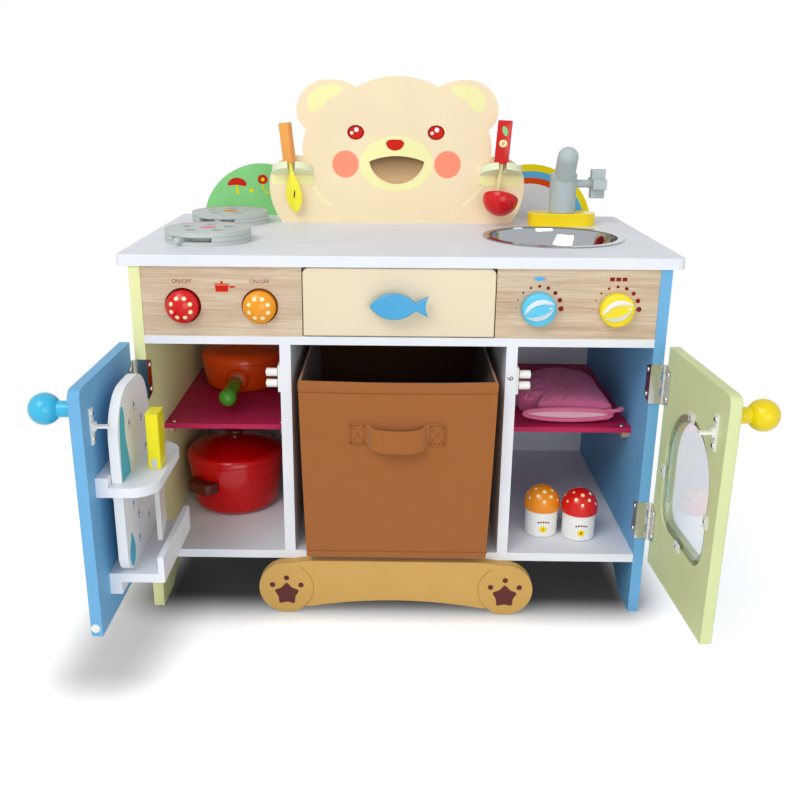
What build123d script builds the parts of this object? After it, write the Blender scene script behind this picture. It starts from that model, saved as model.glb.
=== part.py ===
from build123d import *
import math
import os

# A child's play kitchen: a painted board cabinet with a bear splashboard.
# Millimetres. While it is built, X runs to the right seen from the front, Y runs back from the
# front face of the cabinet, and Z runs up from the floor. The parts are moved by origin_shift
# when they are written, so that the origin lies under the middle of the whole toy.

# Cabinet
top_w = 600.0
top_d = 337.0
top_t = 12.0
top_z = 420.0
top_lap = 2.0
top_rear = 7.0
top_round = 8.0
top_ease = 1.6
side_half = 287.0
board = 12.0
back_t = 5.0
floor_z = 75.0
floor_t = 10.0
mid_z = 332.0
mid_t = 9.0
divider_x = 123.0
foot_len = 48.0
foot_arch = 32.0
panel_t = 9.0
panel_set = 1.0
cleat_set = 4.0
seat = 0.3

# Drawer
bay_half = 103.5
bay_wall = 9.5
drawer_gap = 1.0
drawer_len = 205.0
drawer_box_h = 52.0
drawer_wall = 6.0
drawer_floor = 4.0
drawer_front_t = 12.0
drawer_round = 7.0
front_ease = 1.5
fish_w = 62.0
fish_h = 27.0
fish_t = 8.0
fish_stand = 9.0
fish_post_r = 4.0

# Doors and their hinges
pin_out = 1.5
pin_y = -3.0
pin_r = 1.2
pin_gap = 0.05
barrel_r = 2.5
door_w = 169.0
door_low = 70.0
door_high = 326.0
door_edge = 3.0
door_back_gap = 1.5
right_ajar = 2.5
door_round = 10.0
door_ease = 2.0
leaf_t = 1.2
leaf_w = 15.0
leaf_taper = 5.0
leaf_set = 2.0
hinge_h = 45.0
hinge_low_z = 119.0
hinge_high_z = 282.5
knuckles = 5
knuckle_gap = 0.3
knob_u = 148.0
knob_z = 300.0
knob_r = 15.5
knob_reach = 30.0
knob_neck = 8.0

# Door catches
catch_z = 283.0
catch_y = 9.0
catch_t = 3.0
catch_front = 6.0
catch_rear = 14.0
catch_half_h = 15.0
axle_r = 1.5
axle_gap = 0.1
roller_set = 1.0
roller_r = 4.6
roller_w = 12.0
roller_space = 12.6
strike_reach = 17.0
strike_t = 2.4
strike_w = 6.0
strike_foot = 5.0
strike_foot_h = 8.0
strike_plate_h = 36.0
strike_plate_w = 7.0
strike_plate_t = 2.0

# Window in the right door
window_w = 126.0
window_low = 132.0
window_high = 276.0
window_round = 30.0
window_u = 87.0
window_lip = 8.0
rebate_d = 4.5
pane_t = 2.5
pane_gap = 0.5
tab_w = 14.0
tab_h = 9.0
tab_t = 1.6
tab_drop = 12.0

# Rack on the left door
rack_near = 25.0
rack_far = 152.0
rack_reach = 57.0
rack_t = 10.0
rack_z = 221.0
rack_batten = 12.0
rack_batten_h = 20.0
rack_batten_set = 4.0
rack_round = 26.0
tray_batten_h = 23.0
tray_near = 15.0
tray_far = 137.0
tray_z = 120.5
tray_reach = 56.0
tray_t = 9.5
lip_t = 6.0
lip_h = 28.0
cut_board_w = 113.0
cut_board_h = 188.0
cut_board_t = 9.6
cut_board_crown = 46.0
cut_board_round = 8.0
cut_board_ease = 1.0
cut_board_near = 28.0
slot_gap = 0.5
knife_u = 92.0
knife_s = 45.0
knife_grip_w = 24.0
knife_grip_t = 13.0
knife_grip_h = 58.0
blade_w = 22.0
blade_t = 5.0
blade_h = 80.0
blade_nose = 15.4
blade_curve = 5.4

# Shelves and what stands on them
shelf_z = 209.5
shelf_t = 6.0
shelf_set = 58.0
cleat = 9.0
pan_x = -205.0
pan_y = 222.0
pan_r = 55.0
pan_foot_r = 50.0
pan_round = 8.0
pan_h = 38.0
pan_wall = 4.0
pan_lid_edge = 8.0
pan_lid_rise = 15.0
pan_lid_wall = 2.8
pan_knob_r = 13.0
pan_knob_h = 12.0
grip_len = 88.0
grip_r = 6.5
grip_end_r = 8.8
grip_z = 21.0
boss_sink = 3.5
boss_r = 9.8
boss_t = 9.0
ferrule_r = 5.9
ferrule_t = 10.0
pot_x = -207.0
pot_y = 139.0
pot_r = 60.0
pot_foot_r = 54.0
pot_round = 12.0
pot_h = 66.0
pot_wall = 4.5
pot_lid_edge = 11.0
pot_grip = (22.0, 38.0, 13.0)
pot_grip_z = 42.0
pot_grip_turn = 58.0
pot_lid_rise = 22.0
pot_lid_wall = 3.1
pot_knob_r = 12.0
pot_knob_h = 14.0
pot_grip_out = 3.0
pot_grip_round = 5.0
pot_grip_ease = 2.0
mitt_w = 98.0
mitt_d = 165.0
mitt_h = 25.0
mitt_x = 206.0
mitt_y = 70.0
mitt_shift = 8.0
mitt_cuff = 50.0
mitt_crown = 7.0
mitt_thumb_l = 90.0
mitt_thumb_w = 40.0
mitt_thumb_y = 66.0
mitt_thumb_turn = 14.0
shaker_r = 19.5
shaker_h = 32.0
cap_r = 21.5
cap_h = 28.0
pepper_x = 176.0
pepper_y = 58.0
salt_x = 219.5
salt_y = 49.0

# Storage bin
bin_half = 108.0
bin_foot_half = 102.0
bin_round = 5.0
bin_front = -18.0
bin_d = 262.0
bin_h = 212.0
bin_wall = 4.0
strap_w = 64.0
strap_h = 24.0
strap_t = 3.0
strap_reach = 8.0
strap_tab = 20.0
strap_z = 228.0

# Plinth
plinth_t = 12.0
plinth_x = 127.0
plinth_r = 32.0
plinth_clear = 0.6
plinth_lap = 3.0
plinth_neck = 27.0
plinth_low = 8.0
plinth_rise = 9.0
plinth_drop = 4.0
plinth_groove = 1.2
plinth_groove_d = 1.0

# Knobs on the front panels
knob_in = 148.5
knob_out = 231.0
control_z = 365.0
button_hole_r = 19.0
button_r = 17.5
button_dome = 8.0
button_out = 6.0
button_travel = 4.0
flange_r = 22.0
flange_t = 3.0
stem_r = 4.0
stem_gap = 0.08
stem_out = 3.0
guide_t = 6.0
guide_half = 27.0
guide_half_h = 12.0
guide_leg = 4.0
spring_r = 7.0
spring_wire = 0.6
spring_turns = 5
spring_rest = 11.0
dial_r = 18.2
dial_t = 9.0
dial_ease = 2.5
dial_grip_h = 7.0
dial_grip_w = 9.0
dial_turn = 20.0
spindle_r = 3.0
spindle_gap = 0.06
spindle_out = 6.0
clip_r = 6.0
clip_t = 2.0

# Splashboards
bear_x = -3.0
bear_y = 254.0
bear_t = 12.0
bear_foot = 149.0
bear_flank = (161.0, 24.0)
bear_arm = (164.3, 50.0)
bear_elbow = (155.0, 74.0)
bear_shoulder = (133.0, 84.5)
bear_neck = (120.4, 84.0)
bear_cheek = (120.2, 101.0)
bear_ear_low = (115.7, 117.0)
bear_ear_side = (124.4, 127.5)
bear_ear_out = (127.6, 141.0)
bear_ear_back = (115.5, 167.0)
bear_ear_top = (88.0, 177.6)
bear_ear_in = (68.0, 175.6)
bear_brow = (52.0, 168.5)
bear_crown = 182.0
mouth_w = 71.0
mouth_low = 49.6
mouth_mid = 78.0
mouth_high = 85.0
mouth_d = 7.0
holder_x = 136.0
holder_z = 67.0
holder_t = 9.0
holder_w = 57.0
holder_d = 21.0
holder_side = 11.5
holder_round = 1.5
notch_w = 7.0
notch_d = 12.0
hill_x = -188.0
hill_r = 81.0
hill_sink = 12.0
rainbow_x = 180.0
rainbow_r = 86.0
rainbow_sink = 16.0
splash_t = 9.0

# Utensils in the holders
spatula_grip = (13.0, 12.0, 49.0)
spatula_blade = (24.0, 64.0, 3.0)
spatula_turn = 35.0
spatula_neck_w = 4.8
spatula_neck_h = 13.0
spatula_slot_h = 9.0
spatula_slot_w = 2.4
spatula_slot_z = 33.0
grip_ease = 1.5
ladle_grip = (16.0, 12.0, 54.0)
ladle_shaft_r = 2.4
ladle_bowl_r = 22.5
ladle_bowl_wall = 3.0
ladle_hollow_r = 18.0
ladle_drop = 36.0
utensil_y = 245.0

# Sink and tap
sink_x = 183.0
sink_y = 140.0
sink_rim_r = 83.0
sink_cut_r = 77.6
sink_rim_t = 1.6
sink_depth = 44.0
sink_floor_r = 34.0
sink_belly_r = 62.0
sink_belly_z = 30.0
sink_play = 1.2
sink_wall = 1.4
tap_x = 211.0
tap_y = 250.0
tap_base = (87.0, 40.0, 16.0)
tap_r = 17.0
tap_h = 49.0
pivot_r = 5.0
pivot_h = 14.0
spout_r = 13.0
spout_tilt = 32.0
spout_start_y = -4.0
spout_start_z = 42.0
spout_len = 33.0
valve_z = 36.0
valve_r = 5.0
valve_out = 18.0
valve_seat = 6.0
tap_ease = 1.5
tap_cap_r = 5.5
tap_cap_t = 3.0
cross_span = 36.0
cross_arm = 13.0
cross_t = 17.0
cross_ease = 2.0

# Hobs
hob_x = -219.0
hob_front_y = 97.0
hob_rear_y = 249.0
hob_r = 49.0
hob_layer = 5.0
hob_ring_r = 40.0
hob_gap = 0.3
hob_pin_r = 3.0
hob_slot = (-133.0, -75.0)
hob_hole_r = 6.5
hob_hole_ring = 25.0
hob_holes = 5
lever_out = 56.0
lever_w = 8.0
lever_round = 2.0
lever_hidden = 48.0
lever_front = -119.0
lever_rear = -100.0

# Values worked out from the ones above
inner_half = side_half - board
top_back = top_d - top_lap
carcass_d = top_back - top_rear
back_y = carcass_d - back_t
splash_y = top_back - splash_t
top_under = top_z - top_t
pin_x = side_half + pin_out
face_x = pin_x + door_back_gap
bay_out = divider_x + board / 2
door_front_y = pin_y - door_edge - door_w
origin_shift = (0, -(top_back + door_front_y) / 2, 0)
front_back_y = panel_set + panel_t
guide_depth = flange_t + button_travel + spring_rest
tap_low = top_z + tap_base[2] + seat
grip_low = top_z + holder_z + holder_t + seat

BOTTOM = (Align.CENTER, Align.CENTER, Align.MIN)


def block(x0, x1, y0, y1, z0, z1):
    """A box between six planes."""
    size = (x1 - x0, y1 - y0, z1 - z0)
    middle = ((x0 + x1) / 2, (y0 + y1) / 2, (z0 + z1) / 2)
    return Pos(*middle) * Box(*size)


def across(outline, y_front, thick):
    """A board that stands across the toy; its outline is drawn in X and Z."""
    return extrude(Plane.XZ.offset(-(y_front + thick)) * outline, thick)


def along(outline, x_low, thick):
    """A board that stands front to back; its outline is drawn in Y and Z."""
    return extrude(Plane.YZ.offset(x_low) * outline, thick)


def flat(outline, z_low, thick):
    """A board that lies flat; its outline is drawn in X and Y."""
    return extrude(Plane.XY.offset(z_low) * outline, thick)


def rod(start, direction, radius, length):
    """A round bar from a point along a direction."""
    frame = Plane(origin=start, z_dir=direction)
    return extrude(frame * Circle(radius), length)


def mirrored(shape):
    """The same piece on the other side of the toy."""
    return mirror(shape, about=Plane.YZ)


# The cabinet

def worktop():
    outline = RectangleRounded(top_w, top_d, top_round)
    slab = flat(Pos(0, top_d / 2 - top_lap) * outline, top_under, top_t)
    slab = fillet(slab.faces().sort_by(Axis.Z)[-1].edges(), top_ease)
    cut = Pos(sink_x, sink_y, top_under - 1) * Cylinder(sink_cut_r, top_t + 2, align=BOTTOM)
    return slab - cut


def side_panel(side):
    rear_foot = carcass_d - foot_len
    edges = [
        Line((0, 0), (foot_len, 0)),
        ThreePointArc((foot_len, 0), (carcass_d / 2, foot_arch), (rear_foot, 0)),
        Line((rear_foot, 0), (carcass_d, 0)),
        Line((carcass_d, 0), (carcass_d, top_under)),
        Line((carcass_d, top_under), (0, top_under)),
        Line((0, top_under), (0, 0)),
    ]
    panel = along(make_face(edges), inner_half, board)
    return panel if side > 0 else mirrored(panel)


def floor_panel():
    return block(-inner_half, inner_half, 0, back_y, floor_z - floor_t, floor_z)


def mid_panel():
    return block(-inner_half, inner_half, 0, back_y, mid_z - mid_t, mid_z)


def dividers():
    wall = block(divider_x - board / 2, bay_out, 0, back_y, floor_z, mid_z - mid_t)
    return [wall, mirrored(wall)]


def back_panel():
    return block(-inner_half, inner_half, back_y, carcass_d, floor_z - floor_t, top_under)


def drawer_bay_walls():
    front = drawer_front_t + seat
    wall = block(bay_half - bay_wall, bay_half, front, back_y, mid_z, top_under)
    return [wall, mirrored(wall)]


def front_panel_blank():
    return block(bay_half, inner_half, panel_set, front_back_y, mid_z, top_under)


def range_panel():
    panel = mirrored(front_panel_blank())
    for x in (-knob_out, -knob_in):
        panel -= rod((x, 0, control_z), (0, 1, 0), button_hole_r, front_back_y + 1)
    return panel


def oven_panel():
    panel = front_panel_blank()
    for x in (knob_out, knob_in):
        panel -= rod((x, 0, control_z), (0, 1, 0), spindle_r + spindle_gap, front_back_y + 1)
    return panel


def shelves():
    plate = block(bay_out, inner_half, shelf_set, back_y, shelf_z - shelf_t, shelf_z)
    return [plate, mirrored(plate)]


def shelf_cleats():
    low = shelf_z - shelf_t - cleat
    high = shelf_z - shelf_t
    front = shelf_set + cleat_set
    strips = []
    for x0, x1 in ((bay_out, bay_out + cleat), (inner_half - cleat, inner_half)):
        strip = block(x0, x1, front, back_y, low, high)
        nose = strip.edges().filter_by(Axis.X).group_by(Axis.Y)[0].sort_by(Axis.Z)[0]
        strip = chamfer(nose, cleat / 2)
        strips += [strip, mirrored(strip)]
    return strips


def plinth_board():
    middle_z = plinth_clear + plinth_r
    bar_top = floor_z - floor_t + plinth_lap
    join_x = plinth_x - plinth_neck
    low = plinth_clear + plinth_low
    shoulder = bar_top - plinth_drop
    edges = [
        ThreePointArc((-join_x, low), (0, low + plinth_rise), (join_x, low)),
        Line((join_x, low), (plinth_x, low)),
        Line((plinth_x, low), (plinth_x, shoulder)),
        Line((plinth_x, shoulder), (join_x, bar_top)),
        Line((join_x, bar_top), (-join_x, bar_top)),
        Line((-join_x, bar_top), (-plinth_x, shoulder)),
        Line((-plinth_x, shoulder), (-plinth_x, low)),
        Line((-plinth_x, low), (-join_x, low)),
    ]
    outline = make_face(edges)
    for x in (-plinth_x, plinth_x):
        outline += Pos(x, middle_z) * Circle(plinth_r)
    plate = across(outline, -plinth_t, plinth_t)
    for side in (-1, 1):
        ring = Pos(side * plinth_x, middle_z) * (Circle(plinth_r) - Circle(plinth_r - plinth_groove))
        inner = Pos(side * (plinth_x - plinth_r), middle_z) * Rectangle(plinth_r, 2 * plinth_r)
        plate -= across(ring & inner, -plinth_t - 1, plinth_groove_d + 1)
    return plate


# The splashboards

def bear_outline():
    right = [
        ThreePointArc((bear_foot, 0), bear_flank, bear_arm),
        ThreePointArc(bear_arm, bear_elbow, bear_shoulder),
        Line(bear_shoulder, bear_neck),
        ThreePointArc(bear_neck, bear_cheek, bear_ear_low),
        ThreePointArc(bear_ear_low, bear_ear_side, bear_ear_out),
        ThreePointArc(bear_ear_out, bear_ear_back, bear_ear_top),
        ThreePointArc(bear_ear_top, bear_ear_in, bear_brow),
    ]
    left = [mirror(edge, about=Plane.YZ) for edge in right]
    crown = ThreePointArc(bear_brow, (0, bear_crown), (-bear_brow[0], bear_brow[1]))
    base = Line((-bear_foot, 0), (bear_foot, 0))
    return make_face(right + [crown, base] + left)


def bear_backboard():
    plate = across(Pos(bear_x, top_z) * bear_outline(), bear_y, bear_t)
    half = mouth_w / 2
    mouth = make_face([
        ThreePointArc((-half, mouth_mid), (0, mouth_high), (half, mouth_mid)),
        ThreePointArc((half, mouth_mid), (0, mouth_low), (-half, mouth_mid)),
    ])
    return plate - across(Pos(bear_x, top_z) * mouth, bear_y - 1, mouth_d + 1)


def utensil_holders():
    half = holder_w / 2
    back = bear_y
    side_y = back - holder_d + holder_side
    outline = make_face([
        Line((-half, back), (half, back)),
        Line((half, back), (half, side_y)),
        ThreePointArc((half, side_y), (0, back - holder_d), (-half, side_y)),
        Line((-half, side_y), (-half, back)),
    ])
    notch = Pos(0, back - holder_d + notch_d / 2 - 1) * Rectangle(notch_w, notch_d + 2)
    notch += Pos(0, back - holder_d + notch_d) * Circle(notch_w / 2)
    plate = flat(outline - notch, top_z + holder_z, holder_t)
    plate = fillet(plate.edges().filter_by(Axis.Z).group_by(Axis.X)[0], holder_round)
    return [Pos(bear_x + side * holder_x, 0, 0) * plate for side in (-1, 1)]


def half_disc(x, radius, sink):
    disc = Pos(x, top_z - sink) * Circle(radius)
    return disc & (Pos(x, top_z + radius) * Rectangle(3 * radius, 2 * radius))


def hill_panel():
    return across(half_disc(hill_x, hill_r, hill_sink), splash_y, splash_t)


def rainbow_panel():
    return across(half_disc(rainbow_x, rainbow_r, rainbow_sink), splash_y, splash_t)


# Sink and tap

def sink_bowl():
    rim_in = sink_cut_r - sink_play
    deep = -sink_depth
    outside = make_face([
        Line((0, sink_rim_t), (sink_rim_r, sink_rim_t)),
        Line((sink_rim_r, sink_rim_t), (sink_rim_r, 0)),
        Line((sink_rim_r, 0), (rim_in, 0)),
        ThreePointArc((rim_in, 0), (sink_belly_r, -sink_belly_z), (sink_floor_r, deep)),
        Line((sink_floor_r, deep), (0, deep)),
        Line((0, deep), (0, sink_rim_t)),
    ])
    hollow = make_face([
        Line((0, sink_rim_t + 1), (rim_in - sink_wall, sink_rim_t + 1)),
        Line((rim_in - sink_wall, sink_rim_t + 1), (rim_in - sink_wall, 0)),
        ThreePointArc((rim_in - sink_wall, 0), (sink_belly_r - sink_wall, sink_wall - sink_belly_z),
                      (sink_floor_r - 1, deep + sink_wall)),
        Line((sink_floor_r - 1, deep + sink_wall), (0, deep + sink_wall)),
        Line((0, deep + sink_wall), (0, sink_rim_t + 1)),
    ])
    bowl = revolve(Plane.XZ * (outside - hollow), Axis.Z)
    return Pos(sink_x, sink_y, top_z) * bowl


def faucet_base():
    plate = flat(Pos(tap_x, tap_y) * SlotOverall(tap_base[0], tap_base[1]), top_z, tap_base[2])
    plate = fillet(plate.faces().sort_by(Axis.Z)[-1].edges(), tap_ease)
    return plate + flat(Pos(tap_x, tap_y) * Circle(pivot_r), top_z + tap_base[2], pivot_h)


def spout_line():
    angle = math.radians(spout_tilt)
    start = (tap_x, tap_y + spout_start_y, tap_low + spout_start_z)
    return start, (0, -math.sin(angle), math.cos(angle))


def faucet_body():
    body = Pos(tap_x, tap_y, tap_low) * Cylinder(tap_r, tap_h, align=BOTTOM)
    body = fillet(body.edges().sort_by(Axis.Z)[-1], tap_ease)
    body -= flat(Pos(tap_x, tap_y) * Circle(pivot_r + spindle_gap), tap_low, pivot_h)
    start, direction = spout_line()
    body -= rod(start, direction, spout_r, tap_h)
    seat_x = tap_x + tap_r - valve_seat
    body -= rod((seat_x, tap_y, tap_low + valve_z), (1, 0, 0), valve_r + spindle_gap, tap_r)
    spout = rod(start, direction, spout_r, spout_len)
    tip = [start[i] + direction[i] * spout_len for i in range(3)]
    spout += Pos(*tip) * Sphere(spout_r)
    return [body, spout]


def tap_handle():
    axis_z = tap_low + valve_z
    start_x = tap_x + tap_r - valve_seat + seat
    end_x = tap_x + tap_r + valve_out
    middle = (end_x, tap_y, axis_z)
    handle = rod((start_x, tap_y, axis_z), (1, 0, 0), valve_r, end_x - start_x + cross_t)
    arm = RectangleRounded(cross_span, cross_arm, cross_ease)
    cross = extrude(Plane(origin=middle, z_dir=(1, 0, 0)) * (arm + Rot(0, 0, 90) * arm), cross_t)
    cap = rod((end_x + cross_t, tap_y, axis_z), (1, 0, 0), tap_cap_r, tap_cap_t)
    return handle + cross + cap


# The hobs

def slot_sector(radius, first, last):
    """A pie slice of a disc between two angles in degrees."""
    points = [(0, 0)]
    for angle in (first, (first + last) / 2, last):
        turn = math.radians(angle)
        points.append((2 * radius * math.cos(turn), 2 * radius * math.sin(turn)))
    return make_face(Polyline(*points, close=True).edges())


def hob_housing(y):
    base = flat(Circle(hob_r), top_z, hob_layer)
    ring = Circle(hob_r) - Circle(hob_ring_r) - slot_sector(hob_r, *hob_slot)
    base += flat(ring, top_z + hob_layer, hob_layer)
    base += flat(Circle(hob_pin_r), top_z + hob_layer, hob_layer)
    holes = Circle(hob_r)
    for i in range(hob_holes):
        turn = math.radians(90 + 360 * i / hob_holes)
        spot = Pos(hob_hole_ring * math.cos(turn), hob_hole_ring * math.sin(turn))
        holes -= spot * Circle(hob_hole_r)
    lid = flat(holes, top_z + 2 * hob_layer, hob_layer)
    return [Pos(hob_x, y, 0) * piece for piece in (base, lid)]


def hob_housings():
    return hob_housing(hob_front_y) + hob_housing(hob_rear_y)


def hob_disc(y, angle):
    disc = Circle(hob_ring_r - hob_gap)
    tab = Pos(lever_out / 2, 0) * RectangleRounded(lever_out, lever_w, lever_round)
    if angle == lever_rear:
        tab = Pos(lever_hidden / 2, 0) * Rectangle(lever_hidden, lever_w)
    outline = disc + Rot(0, 0, angle) * tab - Circle(hob_pin_r + spindle_gap)
    return Pos(hob_x, y, 0) * flat(outline, top_z + hob_layer + hob_gap, hob_layer - 2 * hob_gap)


# Drawer

def drawer_front():
    half = bay_half - drawer_gap
    blank = block(-half, half, 0, drawer_front_t, mid_z + drawer_gap, top_under - drawer_gap)
    blank = fillet(blank.edges().filter_by(Axis.Y).group_by(Axis.Z)[-1], drawer_round)
    return fillet(blank.faces().sort_by(Axis.Y)[0].edges(), front_ease)


def drawer_box():
    half = bay_half - bay_wall - drawer_gap
    front = drawer_front_t
    back = front + drawer_len
    low = mid_z + seat
    box = block(-half, half, front, back, low, low + drawer_box_h)
    inside = block(-half + drawer_wall, half - drawer_wall, front + drawer_wall, back - drawer_wall,
                   low + drawer_floor, low + drawer_box_h + 1)
    return box - inside


def fish_handle():
    body_w = fish_w * 0.78
    half_h = fish_h / 2
    nose = -fish_w / 2
    tail = fish_w / 2
    root = nose + body_w
    outline = make_face([
        ThreePointArc((nose, 0), (nose + body_w * 0.45, half_h), (root, 4)),
        Line((root, 4), (tail, half_h * 0.8)),
        ThreePointArc((tail, half_h * 0.8), (tail - 3, 0), (tail, -half_h * 0.8)),
        Line((tail, -half_h * 0.8), (root, -4)),
        ThreePointArc((root, -4), (nose + body_w * 0.45, -half_h), (nose, 0)),
    ])
    y_front = -fish_stand - fish_t
    fish = across(Pos(0, control_z + 4) * outline, y_front, fish_t)
    fish = fillet(fish.faces().sort_by(Axis.Y)[0].edges(), front_ease)
    for x in (-fish_w / 4, fish_w / 8):
        fish += rod((x, -fish_stand, control_z + 4), (0, 1, 0), fish_post_r, fish_stand)
    return fish


# Buttons, dials and what is behind the front panels

def button(x):
    """A domed cap with its flange and stem, turned about the line it is pushed along."""
    face_y = -button_out
    flange_y = front_back_y + seat
    stem_y = flange_y + guide_depth + guide_t + stem_out
    radius = (button_r ** 2 + button_dome ** 2) / (2 * button_dome)
    half = math.asin(button_r / radius) / 2
    tip = (0, face_y - button_dome)
    crown = (radius * math.sin(half), face_y - button_dome + radius * (1 - math.cos(half)))
    outline = make_face([
        ThreePointArc(tip, crown, (button_r, face_y)),
        *Polyline((button_r, face_y), (button_r, flange_y), (flange_r, flange_y),
                  (flange_r, flange_y + flange_t), (stem_r, flange_y + flange_t),
                  (stem_r, stem_y), (0, stem_y), tip).edges(),
    ])
    return Pos(x, 0, control_z) * revolve(outline, Axis.Y)


def button_guides():
    guides = []
    far = front_back_y + guide_depth
    low = control_z - guide_half_h
    high = control_z + guide_half_h
    for x in (-knob_out, -knob_in):
        frame = block(x - guide_half, x + guide_half, far, far + guide_t, low, high)
        for near in (x - guide_half, x + guide_half - guide_leg):
            frame += block(near, near + guide_leg, front_back_y, far, low, high)
        bore = rod((x, front_back_y, control_z), (0, 1, 0), stem_r + stem_gap, guide_depth + guide_t + 1)
        guides.append(frame - bore)
    return guides


def button_spring(x):
    start = front_back_y + seat + flange_t + spring_wire
    length = front_back_y + guide_depth - spring_wire - start
    path = Helix(length / spring_turns, length, spring_r)
    wire = sweep(Plane(origin=path @ 0, z_dir=path % 0) * RegularPolygon(spring_wire, 6), path)
    return Pos(x, start, control_z) * (Rot(-90, 0, 0) * wire)


def dial(x):
    back = panel_set - seat
    skirt = rod((x, back, control_z), (0, -1, 0), dial_r, dial_t)
    skirt = fillet(skirt.edges().group_by(Axis.Y)[0], dial_ease)
    half = dial_r - 1
    lens = make_face([
        ThreePointArc((-half, 0), (0, dial_grip_w / 2), (half, 0)),
        ThreePointArc((half, 0), (0, -dial_grip_w / 2), (-half, 0)),
    ])
    grip = across(Pos(x, control_z) * (Rot(0, 0, dial_turn) * lens), back - dial_t - dial_grip_h,
                  dial_grip_h)
    spindle = rod((x, back, control_z), (0, 1, 0), spindle_r, front_back_y + spindle_out - back)
    clip = rod((x, front_back_y + seat, control_z), (0, 1, 0), clip_r, clip_t)
    return skirt + grip + spindle + clip


# Hinges, doors and their fittings. A door is drawn wide open, at a right angle to the front. A point
# of it is given by u, along the door from the pin, and s, inwards from the door's inner face.

def door_block(side, u0, u1, s0, s1, z0, z1):
    near = face_x - s1
    far = face_x - s0
    part = block(near, far, pin_y - u1, pin_y - u0, z0, z1)
    return part if side > 0 else mirrored(part)


def door_outline(outline, side, s_inner, thick):
    """A plate in the door's plane; its outline is drawn in u and Z."""
    turned = mirror(Plane.YZ * outline, about=Plane.XZ)
    low = face_x - s_inner - thick
    part = extrude(Pos(low, pin_y, 0) * turned, thick, dir=(1, 0, 0))
    return part if side > 0 else mirrored(part)


def hinge_levels(middle, own):
    """Lowest and highest points of every other knuckle of a hinge."""
    step = hinge_h / knuckles
    low = middle - hinge_h / 2
    first = 0 if own == "frame" else 1
    return [(low + i * step + knuckle_gap / 2, low + (i + 1) * step - knuckle_gap / 2)
            for i in range(first, knuckles, 2)]


def knuckle_set(middle, own):
    drums = []
    for low, high in hinge_levels(middle, own):
        drums.append(Pos(pin_x, pin_y, low) * Cylinder(barrel_r, high - low, align=BOTTOM))
    return drums


def pin_bore(middle):
    low = middle - hinge_h / 2 - 1
    return Pos(pin_x, pin_y, low) * Cylinder(pin_r + pin_gap, hinge_h + 2, align=BOTTOM)


def frame_leaf(middle):
    low = middle - hinge_h / 2
    high = middle + hinge_h / 2
    cheek_face = inner_half - leaf_t
    strip = block(cheek_face, side_half - leaf_set, -leaf_t, 0, low, high)
    cheek = make_face(Polyline((-leaf_t, low), (leaf_w, low + leaf_taper), (leaf_w, high - leaf_taper),
                               (-leaf_t, high), close=True).edges())
    leaf = strip + along(cheek, cheek_face, leaf_t)
    for z0, z1 in hinge_levels(middle, "frame"):
        leaf += block(side_half - leaf_set - leaf_t, pin_x, -leaf_t, -leaf_t / 3, z0, z1)
    for drum in knuckle_set(middle, "frame"):
        leaf += drum
    return leaf - pin_bore(middle)


def hinges_fixed():
    parts = []
    for middle in (hinge_low_z, hinge_high_z):
        leaf = frame_leaf(middle)
        pin = Pos(pin_x, pin_y, middle - hinge_h / 2) * Cylinder(pin_r, hinge_h, align=BOTTOM)
        parts += [leaf, mirrored(leaf), pin, mirrored(pin)]
    return parts


def door_leaf(middle):
    low = middle - hinge_h / 2
    high = middle + hinge_h / 2
    near = door_edge + seat
    outline = make_face(Polyline((near, low), (leaf_w, low + leaf_taper), (leaf_w, high - leaf_taper),
                                 (near, high), close=True).edges())
    leaf = door_outline(outline, 1, 0, leaf_t)
    for z0, z1 in hinge_levels(middle, "door"):
        leaf += door_block(1, 0, near + seat, 0, leaf_t, z0, z1)
    for drum in knuckle_set(middle, "door"):
        leaf += drum
    return leaf - pin_bore(middle)


def hinge_leaves(side):
    leaves = [door_leaf(middle) for middle in (hinge_low_z, hinge_high_z)]
    return leaves if side > 0 else [mirrored(leaf) for leaf in leaves]


def door_blank():
    far = door_edge + door_w
    slab = door_block(1, door_edge, far, -board, 0, door_low, door_high)
    ends = slab.edges().filter_by(Axis.X).group_by(Axis.Y)[0]
    slab = fillet(ends.sort_by(Axis.Z)[-1], door_round)
    return fillet(slab.faces().sort_by(Axis.X)[-1].edges(), door_ease)


def window_shape(inset):
    """The window's outline in u and Z, drawn in by an inset."""
    half = window_w / 2 - inset
    low = window_low + inset
    high = window_high - inset
    corner = max(window_round - inset, 1)
    bend = corner * (1 - math.sqrt(0.5))
    left = window_u - half
    right = window_u + half
    spring_z = high - half
    return make_face([
        Line((left, low + corner), (left, spring_z)),
        ThreePointArc((left, spring_z), (window_u, high), (right, spring_z)),
        Line((right, spring_z), (right, low + corner)),
        ThreePointArc((right, low + corner), (right - bend, low + bend), (right - corner, low)),
        Line((right - corner, low), (left + corner, low)),
        ThreePointArc((left + corner, low), (left + bend, low + bend), (left, low + corner)),
    ])


def door_right():
    slab = door_blank()
    slab -= door_outline(window_shape(0), 1, -rebate_d, rebate_d + 1)
    return slab - door_outline(window_shape(window_lip), 1, -board - 1, board + 2)


def window_pane():
    return door_outline(window_shape(pane_gap), 1, -rebate_d, pane_t)


def window_tabs():
    inner = -rebate_d + pane_t
    middle_z = (window_low + window_high) / 2 - tab_drop
    reach = window_w / 2
    places = [(window_u - reach, middle_z, 0), (window_u + reach, middle_z, 0),
              (window_u, window_low, 1), (window_u, window_high, 1)]
    tabs = []
    for u, z, lies in places:
        half_u = (tab_w if lies else tab_h) / 2
        half_z = (tab_h if lies else tab_w) / 2
        tabs.append(door_block(1, u - half_u, u + half_u, 0, tab_t, z - half_z, z + half_z))
    return tabs


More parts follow.
